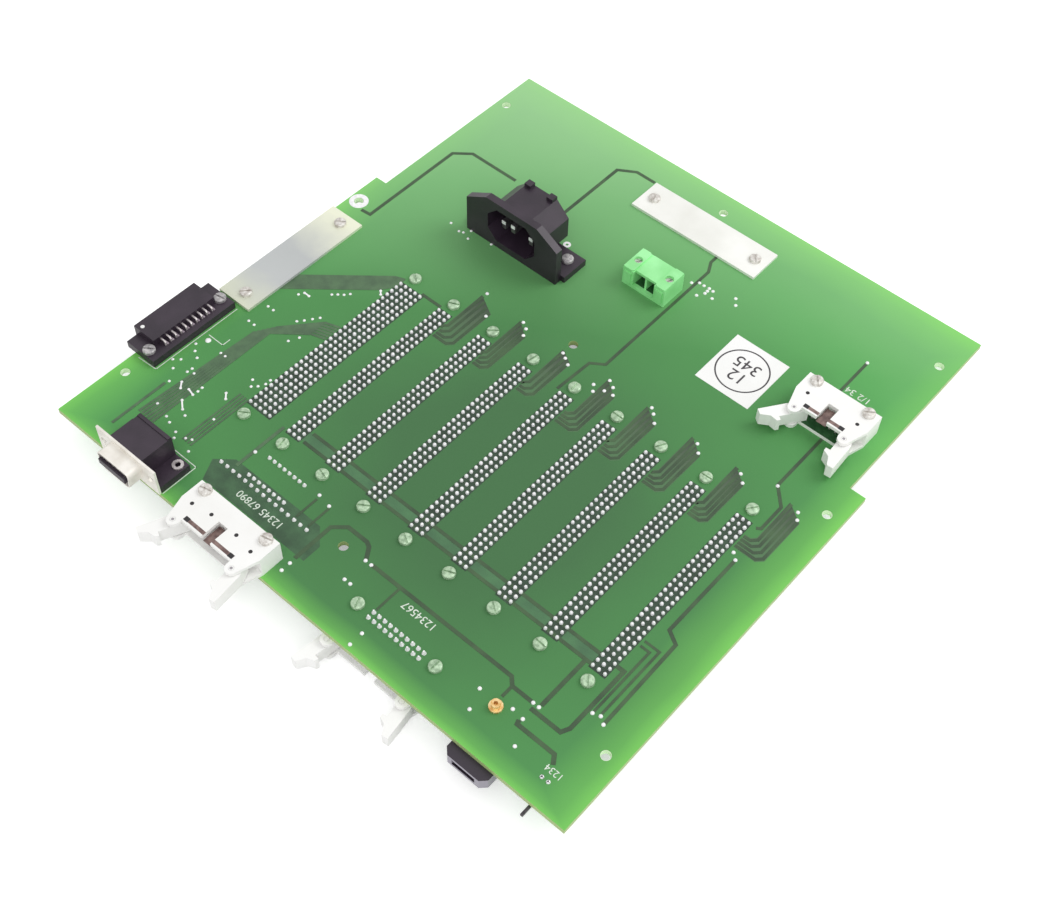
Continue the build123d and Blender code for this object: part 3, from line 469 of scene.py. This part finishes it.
for name in nodes:
    if "card_socket" in name:
        dress(name, SOCKET, 0.25)
    elif "latch" in name:
        dress(name, WHITE, 0.3)
    elif name.endswith("header_body"):
        dress(name, WHITE, 0.22)
for name, material, bevel in (
    ("circuit_board", MASK, 0.0),
    ("side_plate", PLATE, 0.15),
    ("rear_plate", REAR_PLATE, 0.15),
    ("mains_inlet_blades", BLADE, 0.1),
    ("mains_inlet_housing", BLACK, 0.45),
    ("serial_housing", BLACK, 0.3),
    ("serial_shell", SHELL, 0.2),
    ("edge_connector_body", BLACK, 0.25),
    ("pin_strip_body", BLACK, 0.15),
    ("lead_package_body", BLACK, 0.3),
    ("row_strip_body", BLACK, 0.2),
    ("front_socket_body", FRONT_SOCKET, 0.3),
    ("power_terminal_housing", GREEN, 0.25),
    ("inspection_label", PAPER, 0.0),
    ("gold_terminal", GOLD, 0.0),
):
    dress(name, material, bevel)
for name, material in (
    ("pin_strip_pins", BLADE),
    ("power_terminal_pins", PIN_METAL),
    ("power_terminal_inserts", PIN_METAL),
    ("serial_pins", PIN_METAL),
    ("serial_boardlocks", PIN_METAL),
    ("edge_connector_pins", PIN_METAL),
    ("io_header_pins", PIN_METAL),
    ("panel_header_pins", PIN_METAL),
):
    dress(name, material, 0.1, 1)

# Solder tails
TAIL_PROFILE = [(0.70, 0.0), (0.72, 0.35), (0.66, 0.75), (0.50, 1.05), (0.26, 1.25)]


def tail_field(name, centre_x, rows, node):
    mesh = bmesh.new()
    for x in spread(rows, PITCH):
        for y in spread(SLOT_CONTACTS, PITCH):
            fullness = random.uniform(0.9, 1.08)
            profile = [(radius * fullness, height) for radius, height in TAIL_PROFILE]
            turned(mesh, (centre_x + x, y, 0), profile, 8, random.random())
    made = finish_mesh(name, mesh, SOLDER)
    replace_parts(made, node)


for index, slot_x in enumerate(SLOT_X, start=1):
    tail_field(f"solder_tails_{index}", slot_x, 3, f"socket_tails_{index}")
tail_field("wide_solder_tails", WIDE_SLOT_X, 5, "wide_socket_tails")

# Screws
SHANK_RADIUS = 1.2
HEAD_RADIUS = 2.45
HEAD_HEIGHT = 1.4
SCREW_SLOT = 0.7
SLOT_FLOOR = HEAD_HEIGHT - 0.6
# Half a head beside the slot, as radius and level of each rim
HEAD_RIMS = [
    (HEAD_RADIUS, SLOT_FLOOR),
    (HEAD_RADIUS, HEAD_HEIGHT - 0.45),
    (HEAD_RADIUS * 0.93, HEAD_HEIGHT - 0.15),
    (HEAD_RADIUS * 0.82, HEAD_HEIGHT),
]
RIM_STEPS = 14


def half_rim(mesh, place, radius, level, turn):
    """The part of a rim that lies on one side of the slot."""
    start = math.asin(SCREW_SLOT / 2 / radius)
    vertices = []
    for step in range(RIM_STEPS + 1):
        angle = turn + start + (math.pi - 2 * start) * step / RIM_STEPS
        point = Vector((radius * math.cos(angle), radius * math.sin(angle), level))
        vertices.append(mesh.verts.new((Vector(place) + point) * MM))
    return vertices


def slotted_screw(mesh, place, turn, length):
    turned(mesh, place, [(SHANK_RADIUS, -length), (SHANK_RADIUS, 0)], 12)
    turned(mesh, place, [(HEAD_RADIUS, 0), (HEAD_RADIUS, SLOT_FLOOR)], 28)
    for half_turn in (turn, turn + math.pi):
        stack(mesh, [half_rim(mesh, place, radius, level, half_turn) for radius, level in HEAD_RIMS])


def screw_pair(x, y, z, reach_x=0.0, reach_y=0.0):
    """The places on both sides of a middle point."""
    return [(x + side * reach_x, y + side * reach_y, z) for side in (-1, 1)]


def screw_group(name, places, length, node, material=STEEL):
    mesh = bmesh.new()
    for place in places:
        slotted_screw(mesh, place, random.uniform(0, math.pi), length)
    made = finish_mesh(name, mesh, material)
    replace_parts(made, node)


SIDE_PLATE_SCREW_X = -110.7
PLATE_SCREW_REACH = 25.4
INLET_SCREW_Y = 90.9
INLET_FLANGE_TOP = 3.0
EDGE_SCREW_X = -114.2
EDGE_FLANGE_TOP = 3.2
slot_screw_places = []
for slot_x in [*SLOT_X, WIDE_SLOT_X - PITCH]:
    slot_screw_places += screw_pair(slot_x, 0, 0, reach_y=45.0)
screw_group("slot_screws", slot_screw_places, 5.9, "socket_screws")
top_header_places = screw_pair(IO_X, IO_Y, HEADER_TOP, IO_SCREW_REACH)
top_header_places += screw_pair(PANEL_X, PANEL_Y, HEADER_TOP, PANEL_SCREW_REACH)
screw_group("ribbon_header_screws", top_header_places, 11.8, "header_screws", PALE_STEEL)
display_places = screw_pair(DISPLAY_X, DISPLAY_Y, 0, DISPLAY_SCREW_REACH)
screw_group("display_screws", display_places, 11.8, "display_header_screws")
plate_places = screw_pair(SIDE_PLATE_SCREW_X, SIDE_PLATE_Y, PLATE_TOP, reach_y=PLATE_SCREW_REACH)
plate_places += screw_pair(REAR_PLATE_X, REAR_PLATE_Y, PLATE_TOP, PLATE_SCREW_REACH)
screw_group("plate_fixings", plate_places, 3.6, "plate_screws", PALE_STEEL)
inlet_places = screw_pair(INLET_X, INLET_SCREW_Y, INLET_FLANGE_TOP, 20.0)
screw_group("inlet_fixings", inlet_places, 5.4, "mains_inlet_screws", GREY_STEEL)
edge_places = screw_pair(EDGE_SCREW_X, EDGE_Y, EDGE_FLANGE_TOP, reach_y=17.5)
screw_group("edge_fixings", edge_places, 5.6, "edge_connector_screws", GREY_STEEL)

# Long tracks under the mask, each with its width and its points on the grid
LONG_TRACKS = [
    (1.5, [(-168, 152.5), (-192, 152.5), (-198.5, 147), (-198.5, 98), (-203, 97.5)]),
    (1.5, [(-141, 150), (-141, 186), (-134, 190.5), (-124.5, 190.5)]),
    (1.3, [(-80, 174), (-80, 170), (-77.5, 165), (-77.5, 101), (-82.5, 97.5), (-83.5, 80)]),
    (1.3, [(3, 130), (3, 99), (9.5, 92), (9.5, 80), (8, 79)]),
    (1.2, [(-4.7, 150), (-4.7, 168)]),
    (1.4, [(10.5, 63), (10.5, 27), (15.5, 24), (16, -14)]),
    (1.0, [(7, 18.3), (13.2, 18.3), (13.2, -11.5)]),
    (1.0, [(7, 16), (10.8, 16), (10.8, -12.5)]),
    (1.6, [(-3, 0), (-3, -22)]),
    (1.6, [(6, 5), (9, 5), (9, -22), (7.5, -25), (-5, -25)]),
    (1.5, [(-80, -20.5), (-17, -20.5), (-14.5, -23), (-6, -23)]),
    (1.2, [(-14.5, -23), (-14.5, -28)]),
    (1.0, [(-66.7, -20.5), (-66.7, -32)]),
    (1.6, [(-83, -20.5), (-86, -16), (-88, -15), (-97, -15), (-101.5, -19), (-101.5, -36)]),
    (1.6, [(-5, -30.5), (-4.5, -32), (11, -32), (13, -35)]),
    (1.4, [(-135, 0.2), (0, 0.2)]),
    (1.4, [(-135, 5.0), (0, 5.0)]),
    (1.0, [(-113.5, -14), (-113.5, -24)]),
    (1.0, [(-107.5, -14), (-107.5, -24)]),
    (1.4, [(-153, 80.5), (-143, 80.5)]),
]
tracks = bmesh.new()
for width, points in LONG_TRACKS:
    route(tracks, points, width)

# Beside each slot a group of tracks comes from the rear and turns in to the slot
GROUP_STARTS = [
    (11.5, 13.3, 15.3, 17.3),
    (-12.1, -10, -8.4, -6.8),
    (-31.8, -29.7, -28.1, -26.1),
    (-52.6, -50.5, -48.4, -46.6),
    (-71.3, -69.5, -67.4, -65.8),
    (-93.2, -90.7, -88.4),
    (-114.7, -112.8, -111, -109.5),
    (-134.5, -132.2, -129.6, -127),
]
GROUP_REAR = 95.5
REAR_STEP = 1.6
GROUP_TURN = 73.5
TURN_STEP = 1.7
TURN_SLANT = 2
BAND_MARGIN = 0.9
group_bands = bmesh.new()
for slot_x, starts in zip(SLOT_X, GROUP_STARTS):
    slot_edge = slot_x - GRID_X + 4.2
    steps = len(starts) - 1
    left, right = starts[0] - BAND_MARGIN, starts[-1] + BAND_MARGIN
    last_turn = GROUP_TURN - TURN_STEP * steps
    outline = [
        (slot_edge, last_turn - BAND_MARGIN),
        (right - 2.3, last_turn - BAND_MARGIN),
        (right, last_turn + 1.4),
        (right, GROUP_REAR - 0.1 - REAR_STEP * steps),
        (left, GROUP_REAR + 0.4),
        (left, GROUP_TURN + 2.5),
        (left - 1.5, GROUP_TURN + BAND_MARGIN),
        (slot_edge, GROUP_TURN + BAND_MARGIN),
    ]
    prism(group_bands, [on_grid(x, y) for x, y in outline], 0.0, 0.02)
    for step, x in enumerate(starts):
        rear = GROUP_REAR - REAR_STEP * step
        turn = GROUP_TURN - TURN_STEP * step
        route(tracks, [(x, rear), (x, turn + TURN_SLANT), (x - TURN_SLANT, turn), (slot_edge, turn)], 1.2)
finish_mesh("copper_tracks", tracks, COPPER_UNDER_MASK, smooth=False)
finish_mesh("track_group_bands", group_bands, GROUP_BAND, smooth=False)

# Bundles of fine tracks at the left
bundles = bmesh.new()
for number in range(7):
    shift = number * 1.45
    slanted = [(-163, 81.5 - shift * 0.5), (-167, 80 - shift), (-199, 52 - shift), (-203, 52 - shift)]
    route(bundles, slanted, 1.1)
for number in range(6):
    shift = number * 1.5
    bent = [(-164, 47 - shift), (-170, 45 - shift), (-182 - shift * 0.6, 31 - shift), (-182 - shift, -30)]
    route(bundles, bent, 1.1)
for number in range(4):
    x = -168 + number * 1.4
    route(bundles, [(x, 0), (x, -28)], 0.8)
route(bundles, [(-192.5, -15), (-192.5, -40)], 1.2)
route(bundles, [(-145, 0), (-145, -23)], 1.4)
finish_mesh("fine_tracks", bundles, BUNDLE, smooth=False)

# Dark fields around the tails, bands between the slots and the field behind a header
FIELD_END = 40.6
fields = bmesh.new()
for slot_x, half_width in [*((x, 3.5) for x in SLOT_X), (WIDE_SLOT_X, 6.1)]:
    block(fields, (slot_x - half_width, -FIELD_END, 0.0), (slot_x + half_width, FIELD_END, 0.03))
finish_mesh("clearance_fields", fields, SHADE_FIELD, smooth=False)
bands = bmesh.new()
for left, right in zip(SLOT_X[1:], SLOT_X):
    block(bands, (left + 3.6, -39.0, 0.0), (right - 3.6, -34.6, 0.026))
finish_mesh("power_bands", bands, BAND, smooth=False)
field = bmesh.new()
outline = [(-61.5, -66.0), (-57.5, -74.2), (-6.5, -74.2), (-6.5, -66.5), (-12.5, -60.6), (-55.0, -60.6)]
prism(field, outline, 0.0, 0.018)
finish_mesh("header_field", field, HEADER_FIELD, smooth=False)

# Pads and vias, on the grid
PADS = [
    (-83, -20.7), (-80.3, -20.7), (-83, -30.7), (-80.3, -30.7), (-101.3, -38.5), (-101.3, -42.3),
    (-114, -12.3), (-108.2, -13.3), (-144.5, -14.5), (-64, -41.5), (-64, -47), (-5.6, -23), (-3.2, -23),
    (-4.3, -29.5), (10.8, -13.2), (13.5, -12.3), (16, -14), (3.2, 98.7), (-4.7, 168), (8.2, 65.7),
    (10.5, 63.6), (-19.2, -38.2), (0, -38.2), (-21.7, -30.6), (-9, -29), (13, -40.3), (15.6, -40.3),
    (15.1, 94.2), (16.8, 91.3), (-9.7, 94.2), (-6.8, 91.3), (-29.3, 94.5), (-26.5, 91.3), (-51.8, 96.4),
    (-49.5, 94.5), (-46.6, 91.3), (-71.4, 96), (-68.4, 94.2), (-66.1, 91.3), (-74.7, 90.5), (-72.8, 87.8),
    (-69.8, 90.8), (-93, 94.5), (-90.7, 93.1), (-87.9, 91.3), (-114.2, 96), (-111.3, 94.2), (-109.8, 91),
    (-134.4, 97.7), (-126.9, 88.7),
]
SMALL_PADS = [
    (-192.3, 36.2), (-189.4, 36.2), (-192.3, 26.2), (-189.3, 26.2), (-173.5, 61.9), (-175, 60),
    (-176.9, 58.5), (-178.6, 56.9), (-188.2, 48.3), (-173.3, 45.5), (-175, 43.1), (-176.8, 40.5),
    (-178.6, 38.3), (-171.9, 33.3), (-173.8, 29.3), (-188.1, 8.3), (-185.7, 8.3), (-169.8, 7.5),
    (-166, 6.7), (-167.8, 4.9), (-164.7, 11.7), (-164.7, 9.3), (-198.5, 5.1), (-196, 2.5), (-192.9, 0.8),
    (-196.8, -3.7), (-199.1, -5.7), (-195.7, -8.5), (-192, -13.5), (-190.3, -3.9), (-190.5, -6.1),
    (-188, -5), (-180.7, -7.5), (-180.5, -9.7), (-166.5, -14.5), (-175.5, -20.3), (-187.1, -23.3),
    (-180.2, -25), (-177.3, -26.1), (-172.3, -27.5), (-165.3, -25.9), (-167.5, -27), (-170.7, -29.7),
    (-162.3, -30.2), (-171, 116.5), (-163.7, 119.6), (-162, 118.7), (-163.7, 116), (-160, 114.7),
    (-165.5, 115.3), (-153.1, 121.5), (-151, 118.6),
]
LONG_PADS = [
    ((-187, 50.4), (-184.5, 50.4)), ((-166, 71), (-164.6, 69.6)), ((-188.3, -10.7), (-186.3, -13)),
    ((-183.7, -11.3), (-180.7, -12)), ((-172.3, -3.3), (-170.3, -5.3)), ((-181.7, -16.3), (-178.3, -19)),
]
LARGE_PAD = (-196.3, 9.3)
TERMINAL_PADS = [
    (-79, 156), (-76.6, 158), (-74.4, 158), (-72, 158.2), (-70, 158), (-71.7, 156.6), (-71.7, 155),
    (-68, 154.7), (-73.5, 152), (-61.1, 160.9), (-59, 158),
]


def pad(mesh, place, sides, *profile):
    turned(mesh, on_grid(*place), profile, sides)


pads = bmesh.new()
for place in PADS:
    pad(pads, place, 10, (0.76, 0.0), (0.66, 0.3), (0.36, 0.5))
for place in SMALL_PADS:
    pad(pads, place, 8, (0.62, 0.0), (0.5, 0.2), (0.25, 0.3))
for ends in LONG_PADS:
    route(pads, ends, 0.6, 0.15)
    for place in ends:
        pad(pads, place, 8, (0.62, 0.0), (0.5, 0.22), (0.25, 0.32))
pad(pads, LARGE_PAD, 12, (1.2, 0.0), (1.0, 0.3), (0.5, 0.5))
finish_mesh("board_pads", pads, SOLDER)
terminal_pads = bmesh.new()
for place in TERMINAL_PADS:
    pad(terminal_pads, place, 8, (0.75, 0.0), (0.6, 0.25), (0.3, 0.4))
finish_mesh("terminal_pads", terminal_pads, SOLDER)

# Mounting holes: a lit lining in each, and tinned lands round two holes
CORNER_HOLE_X, CORNER_HOLE_Y = 115.25, 60.95
REAR_HOLE_X, REAR_HOLE_REACH = -0.8, 109.25
hole_places = [(side * CORNER_HOLE_X, end * CORNER_HOLE_Y) for side in (-1, 1) for end in (-1, 1)]
hole_places += [(REAR_HOLE_X + side * REAR_HOLE_REACH, 145.6) for side in (-1, 1)]
hole_places += [(REAR_HOLE_X, 156.1)]
linings = bmesh.new()
for x, y in hole_places:
    washer(linings, (x, y, 0), 1.74, 1.83, BOARD_UNDERSIDE + 0.02, -0.02)
finish_mesh("hole_linings", linings, HOLE_GLOW)
lands = bmesh.new()
washer(lands, (-CORNER_HOLE_X, CORNER_HOLE_Y, 0), 1.95, 4.0, 0.0, 0.12)
washer(lands, on_grid(-128.5, 138.8), 0.6, 1.6, 0.0, 0.15, 16)
finish_mesh("tinned_lands", lands, SOLDER)

# Printed outlines
LEGEND_LINES = [
    [(-117.0, -53.0), (-108.0, -52.4), (-108.0, -12.2)],
    [(-95.4, -72.4), (-63.0, -72.4), (-63.0, -87.6)],
    [(-106.0, -28.0), (-98.5, -28.0), (-98.5, -24.5)],
]
LEGEND_WIDTH = 0.35
legend = bmesh.new()
for line in LEGEND_LINES:
    spots = [Vector(point) for point in line]
    for start, end in zip(spots, spots[1:]):
        along = (end - start).normalized() * (LEGEND_WIDTH / 2)
        across = Vector((-along.y, along.x))
        outline = [start - along - across, end + along - across, end + along + across, start - along + across]
        prism(legend, outline, 0.0, 0.04)
finish_mesh("board_legend", legend, LEGEND, smooth=False)


# Plain numbers beside the connectors and on the label, upright when seen from the rear
def numerals(name, words, x, y, z, size, material):
    curve = bpy.data.curves.new(name, "FONT")
    curve.body = words
    curve.size = size * MM
    curve.align_x = "CENTER"
    curve.align_y = "CENTER"
    curve.extrude = 0.02 * MM
    text = bpy.data.objects.new(name, curve)
    bpy.context.scene.collection.objects.link(text)
    text.location = (x * MM, y * MM, z * MM)
    text.rotation_euler = (0, 0, math.pi)
    bpy.context.view_layer.update()
    mesh = bpy.data.meshes.new_from_object(text.evaluated_get(bpy.context.evaluated_depsgraph_get()))
    made = bpy.data.objects.new(name, mesh)
    made.matrix_world = text.matrix_world.copy()
    bpy.data.objects.remove(text)
    made.name = name
    bpy.context.scene.collection.objects.link(made)
    mesh.materials.clear()
    mesh.materials.append(material)
    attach(made, "board")


NUMBER_LEVEL = 0.05
LABEL_NUMBER_LEVEL = LABEL_TOP + 0.03
numerals("panel_way_numbers", "12345 67890", PANEL_X - 1.2, PANEL_Y + 10.7, NUMBER_LEVEL, 4.2, LEGEND)
numerals("display_way_numbers", "1234567", DISPLAY_X + 0.7, DISPLAY_Y + 10.3, NUMBER_LEVEL, 4.2, LEGEND)
numerals("io_way_numbers", "1/2 34", IO_X + 0.8, IO_Y + 12.2, NUMBER_LEVEL, 4.2, LEGEND)
numerals("strip_way_numbers", "1234", PIN_STRIP_X + 0.6, PIN_STRIP_Y + 3.7, NUMBER_LEVEL, 3.4, LEGEND)
numerals("label_number_above", "12", LABEL_X, LABEL_Y - 3.4, LABEL_NUMBER_LEVEL, 7.6, INK)
numerals("label_number_below", "345", LABEL_X, LABEL_Y + 3.4, LABEL_NUMBER_LEVEL, 7.6, INK)
label_ring = bmesh.new()
washer(label_ring, (LABEL_X, LABEL_Y, 0), 10.0, 10.6, LABEL_TOP, LABEL_NUMBER_LEVEL, 64)
finish_mesh("label_ring", label_ring, INK, smooth=False)

# Painted shade on the two upper ribbon headers: dark recess dots, grey pivot dots, key-slot shades and slot
# ends; each header has its middle, pin line, reach of the ears and of the key slot
LEVER_INSET = 0.55
UPPER_HEADERS = [
    (IO_X, IO_Y, IO_SCREW_REACH - LEVER_INSET, 8.6),
    (PANEL_X, PANEL_Y, PANEL_SCREW_REACH - LEVER_INSET, 12.0),
]
# Distances in front of the pin line, and half the key's width
EAR_MARK, INNER_MARK, PIVOT = 6.6, 5.3, 15.2
KEY_FRONT, KEY_REAR, KEY_HALF = 13.2, 5.6, 2.1
SLOT_FRONT, SLOT_REAR = 12.75, 11.3
MARK_PROFILE = [(0.75, 0.0), (0.75, 0.02)]
DOT_PROFILE = [(0.55, 0.01), (0.55, 0.04)]
recess_shades, key_slots, slot_end_shades, pivot_shades = bmesh.new(), bmesh.new(), bmesh.new(), bmesh.new()
for x, y, ear, slot_half in UPPER_HEADERS:
    block(key_slots, (x - KEY_HALF - 0.05, y - KEY_FRONT, 6.55), (x + KEY_HALF + 0.05, y - KEY_REAR, 6.7))
    for side in (-1, 1):
        turned(recess_shades, (x + side * ear, y - EAR_MARK, HEADER_TOP), MARK_PROFILE, 16)
        turned(pivot_shades, (x + side * ear, y - PIVOT, HEADER_TOP), DOT_PROFILE, 16)
        left, right = sorted((x + side * KEY_HALF, x + side * slot_half))
        block(key_slots, (left, y - SLOT_FRONT, HEADER_TOP - 0.04), (right, y - SLOT_REAR, HEADER_TOP + 0.03))
        left, right = sorted((x + side * (slot_half - 2.1), x + side * slot_half))
        front, rear = y - SLOT_FRONT - 0.15, y - SLOT_REAR + 0.15
        block(slot_end_shades, (left, front, HEADER_TOP - 0.04), (right, rear, HEADER_TOP + 0.05))
for side in (-1, 1):
    turned(recess_shades, (PANEL_X + side * 6.2, PANEL_Y - INNER_MARK, HEADER_TOP), MARK_PROFILE, 16)
finish_mesh("header_recess_shades", recess_shades, SHADOW, smooth=False)
finish_mesh("key_slot_shade", key_slots, BROWN, smooth=False)
finish_mesh("slot_end_shades", slot_end_shades, SHADOW, smooth=False)
# Painted shade: a dark green sheet on the floor of the io header's mouth
mouth = bmesh.new()
block(mouth, (IO_X - 7.4, IO_Y - 13.4, 1.5), (IO_X + 7.4, IO_Y - 7.4, 1.56))
finish_mesh("io_mouth_shade", mouth, MOUTH_SHADE_GREEN, smooth=False)
finish_mesh("pivot_hole_shades", pivot_shades, PIVOT_SHADE, smooth=False)

# Power terminal: raised ears, front ribs, the wall between its ways, a rear lip, and painted shade on the
# floor and rear wall of its mouth
EAR_REACH, EAR_HOLE_REACH = 7.72, 7.62
MOUTH_FRONT, MOUTH_REAR = 100.4, 107.6
MOUTH_FLOOR, MOUTH_TOP = 1.4, 7.4
mouth_left, mouth_right = TERMINAL_X - 5.0, TERMINAL_X + 5.0
terminal = bmesh.new()
for side in (-1, 1):
    ear_x, hole_x = TERMINAL_X + side * EAR_REACH, TERMINAL_X + side * EAR_HOLE_REACH
    holed_plate(terminal, (ear_x, TERMINAL_Y), 2.4, 6.2, hole_x, 1.74, TERMINAL_TOP, TERMINAL_TOP + 0.6)
    front, rear = TERMINAL_FRONT - 0.5, TERMINAL_FRONT + 0.02
    block(terminal, (hole_x - 1.6, front, 2.0), (hole_x + 1.6, rear, MOUTH_TOP))
block(terminal, (TERMINAL_X - 0.45, MOUTH_FRONT, MOUTH_FLOOR), (TERMINAL_X + 0.45, MOUTH_REAR, MOUTH_TOP))
block(terminal, (mouth_left, TERMINAL_REAR, 1.0), (mouth_right, TERMINAL_REAR + 0.7, 7.9))
finish_mesh("terminal_details", terminal, GREEN, smooth=False)
# Painted shade: dark green sheets on the mouth's floor and on its rear wall
terminal_shade = bmesh.new()
wall_low, wall_high = (MOUTH_REAR - 0.15, MOUTH_FLOOR + 0.05), (MOUTH_REAR + 0.05, MOUTH_TOP - 0.05)
block(terminal_shade, (mouth_left, *wall_low), (mouth_right, *wall_high))
floor_low, floor_high = (MOUTH_FRONT + 0.1, MOUTH_FLOOR), (MOUTH_REAR - 0.2, MOUTH_FLOOR + 0.06)
block(terminal_shade, (mouth_left, *floor_low), (mouth_right, *floor_high))
finish_mesh("painted_mouth_shade", terminal_shade, MOUTH_SHADE_GREEN, smooth=False)

# Painted highlights: small bright blocks at the tips of the inlet's blades
tip_highlights = bmesh.new()
for x, y, z in ((INLET_X - 7.0, 83.6, 9.7), (INLET_X + 7.0, 83.6, 9.7), (INLET_X, 81.0, 13.7)):
    block(tip_highlights, (x - 0.95, y - 0.25, z + 0.4), (x + 0.95, y + 0.3, z + 1.95))
finish_mesh("blade_tip_highlights", tip_highlights, SOLDER, smooth=False)

# Two black strips on the serial port: one across its front and one along the rear of its top
lip = bmesh.new()
block(lip, (SERIAL_X - 6.8, SERIAL_FRONT - 1.0, 5.6), (SERIAL_X + 6.8, SERIAL_FRONT + 0.3, 8.3))
front, rear = SERIAL_REAR - 1.6, SERIAL_REAR - 0.2
block(lip, (SERIAL_X - 8.1, front, SERIAL_TOP - 0.05), (SERIAL_X + 8.1, rear, SERIAL_TOP + 0.4))
finish_mesh("serial_dark_strips", lip, BLACK, smooth=False)

# Edge connector: the folds of its contacts and a plain round mark
FOLD_LEFT, FOLD_RIGHT, FOLD_HALF = -114.15, -111.5, 0.36
FOLD_LOW, FOLD_HIGH = EDGE_FLANGE_TOP, EDGE_FLANGE_TOP + 0.3
folds = bmesh.new()
for offset in spread(10, PITCH):
    y = EDGE_Y + offset + 0.9
    block(folds, (FOLD_LEFT, y - FOLD_HALF, FOLD_LOW), (FOLD_RIGHT, y + FOLD_HALF, FOLD_HIGH))
finish_mesh("contact_folds", folds, CONTACT_PINK, smooth=False)
mark = bmesh.new()
turned(mark, (-122.6, -45.0, EDGE_TOP), [(0.8, 0.0), (0.8, 0.05)], 20)
finish_mesh("edge_mark", mark, PAPER, smooth=False)

# Round joints where leads come through
JOINT_PROFILE = [(0.8, 0.0), (0.66, 0.4), (0.4, 0.9), (0.26, 1.15)]
DISPLAY_JOINT_PROFILE = [(0.85, 0.0), (0.7, 0.4), (0.45, 0.9), (0.3, 1.5)]
joints = bmesh.new()
for x in spread(15, 3.1):
    turned(joints, (ROW_STRIP_X + x, ROW_STRIP_Y, 0), JOINT_PROFILE, 10)
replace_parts(finish_mesh("row_strip_joints", joints, SOLDER), "row_strip_tails")

LEAD_HALF, LEAD_BEND, LEAD_REACH = 0.3, -4.9, 1.3
joints = bmesh.new()
for offset in spread(8, PITCH):
    left, right = PACKAGE_X + offset - LEAD_HALF, PACKAGE_X + offset + LEAD_HALF
    for side in (-1, 1):
        y = PACKAGE_Y + side * 4.95
        turned(joints, (PACKAGE_X + offset, y, 0), JOINT_PROFILE, 10)
        block(joints, (left, y - LEAD_HALF, LEAD_BEND), (right, y + LEAD_HALF, BOARD_UNDERSIDE))
        front, rear = sorted((y, y - side * LEAD_REACH))
        block(joints, (left, front, LEAD_BEND - LEAD_HALF), (right, rear, LEAD_BEND))
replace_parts(finish_mesh("package_joints", joints, SOLDER), "lead_package_leads")

PIN_HALF, PIN_FRONT, PIN_REAR = 0.32, -84.4, -78.4
PIN_LEVEL = BOARD_UNDERSIDE - 4.7
joints = bmesh.new()
for offset in spread(10, PITCH):
    x = DISPLAY_X + offset
    for row in spread(2, PITCH):
        turned(joints, (x, DISPLAY_Y + row, 0), DISPLAY_JOINT_PROFILE, 10)
        z = PIN_LEVEL + row
        block(joints, (x - PIN_HALF, PIN_FRONT, z - PIN_HALF), (x + PIN_HALF, PIN_REAR, z + PIN_HALF))
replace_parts(finish_mesh("display_joints", joints, SOLDER), "display_header_pins")


# Floor, sky and lamps, in metres
def seen_rays(tree):
    """Two values: 1 for a camera ray, and 1 for that or a ray of a reflection or a clear body."""
    path = add_node(tree, "ShaderNodeLightPath")
    camera_ray = path.outputs["Is Camera Ray"]
    seen = math_node(tree, "MAXIMUM", camera_ray, path.outputs["Is Glossy Ray"])
    return camera_ray, math_node(tree, "MAXIMUM", seen, path.outputs["Is Transmission Ray"])


FLOOR_HALF = 6
floor_mesh = bpy.data.meshes.new("floor")
floor_corners = [(FLOOR_HALF * x, FLOOR_HALF * y, 0) for x, y in ((-1, -1), (1, -1), (1, 1), (-1, 1))]
floor_mesh.from_pydata(floor_corners, [], [(0, 1, 2, 3)])
floor = bpy.data.objects.new("floor", floor_mesh)
floor.location.z = cad_bounds[0].z - 0.0002
bpy.context.scene.collection.objects.link(floor)
floor_material, floor_tree, floor_shader = principled("floor", (0.93, 0.93, 0.93), 0.9)
camera_ray, seen = seen_rays(floor_tree)
lift = math_node(floor_tree, "MULTIPLY_ADD", camera_ray, 0.26, math_node(floor_tree, "MULTIPLY", seen, 0.16))
floor_shader.inputs["Emission Color"].default_value = (1, 1, 1, 1)
floor_tree.links.new(lift, floor_shader.inputs["Emission Strength"])
floor_mesh.materials.append(floor_material)

world = bpy.data.worlds.new("studio")
bpy.context.scene.world = world
world.use_nodes = True
sky = world.node_tree
background = sky.nodes["Background"]
background.inputs["Color"].default_value = (1, 1, 1, 1)
sky.links.new(math_node(sky, "MULTIPLY_ADD", seen_rays(sky)[1], 0.3, 0.7), background.inputs["Strength"])


def area_lamp(name, place, target, size, power):
    data = bpy.data.lights.new(name, "AREA")
    data.shape = "SQUARE"
    data.size = size
    data.energy = power
    lamp = bpy.data.objects.new(name, data)
    bpy.context.scene.collection.objects.link(lamp)
    lamp.location = place
    lamp.rotation_mode = "QUATERNION"
    lamp.rotation_quaternion = (Vector(target) - Vector(place)).to_track_quat("-Z", "Y")


area_lamp("rear_softbox", (0.55, 0.75, 0.95), (0, 0.04, 0), 0.7, 6.0)
area_lamp("front_softbox", (0.5, -0.7, 0.9), (0, 0.0, 0), 0.8, 3.0)

# Camera, as fitted to the solder tails in the photo
camera_data = bpy.data.cameras.new("camera")
camera_data.sensor_width = 36.0
camera_data.lens = 51.21
camera_data.clip_start = 0.01
camera_data.clip_end = 20
camera = bpy.data.objects.new("camera", camera_data)
bpy.context.scene.collection.objects.link(camera)
rightward = Vector((0.7521, 0.6587, 0.0206))
upward = Vector((-0.5384, 0.5960, 0.5957))
forward = Vector((-0.3801, 0.4591, -0.8030))
turning = Matrix((rightward, upward, -forward)).transposed()
camera.matrix_world = Matrix.Translation((0.22232, -0.23477, 0.43063)) @ turning.to_4x4()
bpy.context.scene.camera = camera
bpy.context.scene.view_settings.view_transform = "Standard"
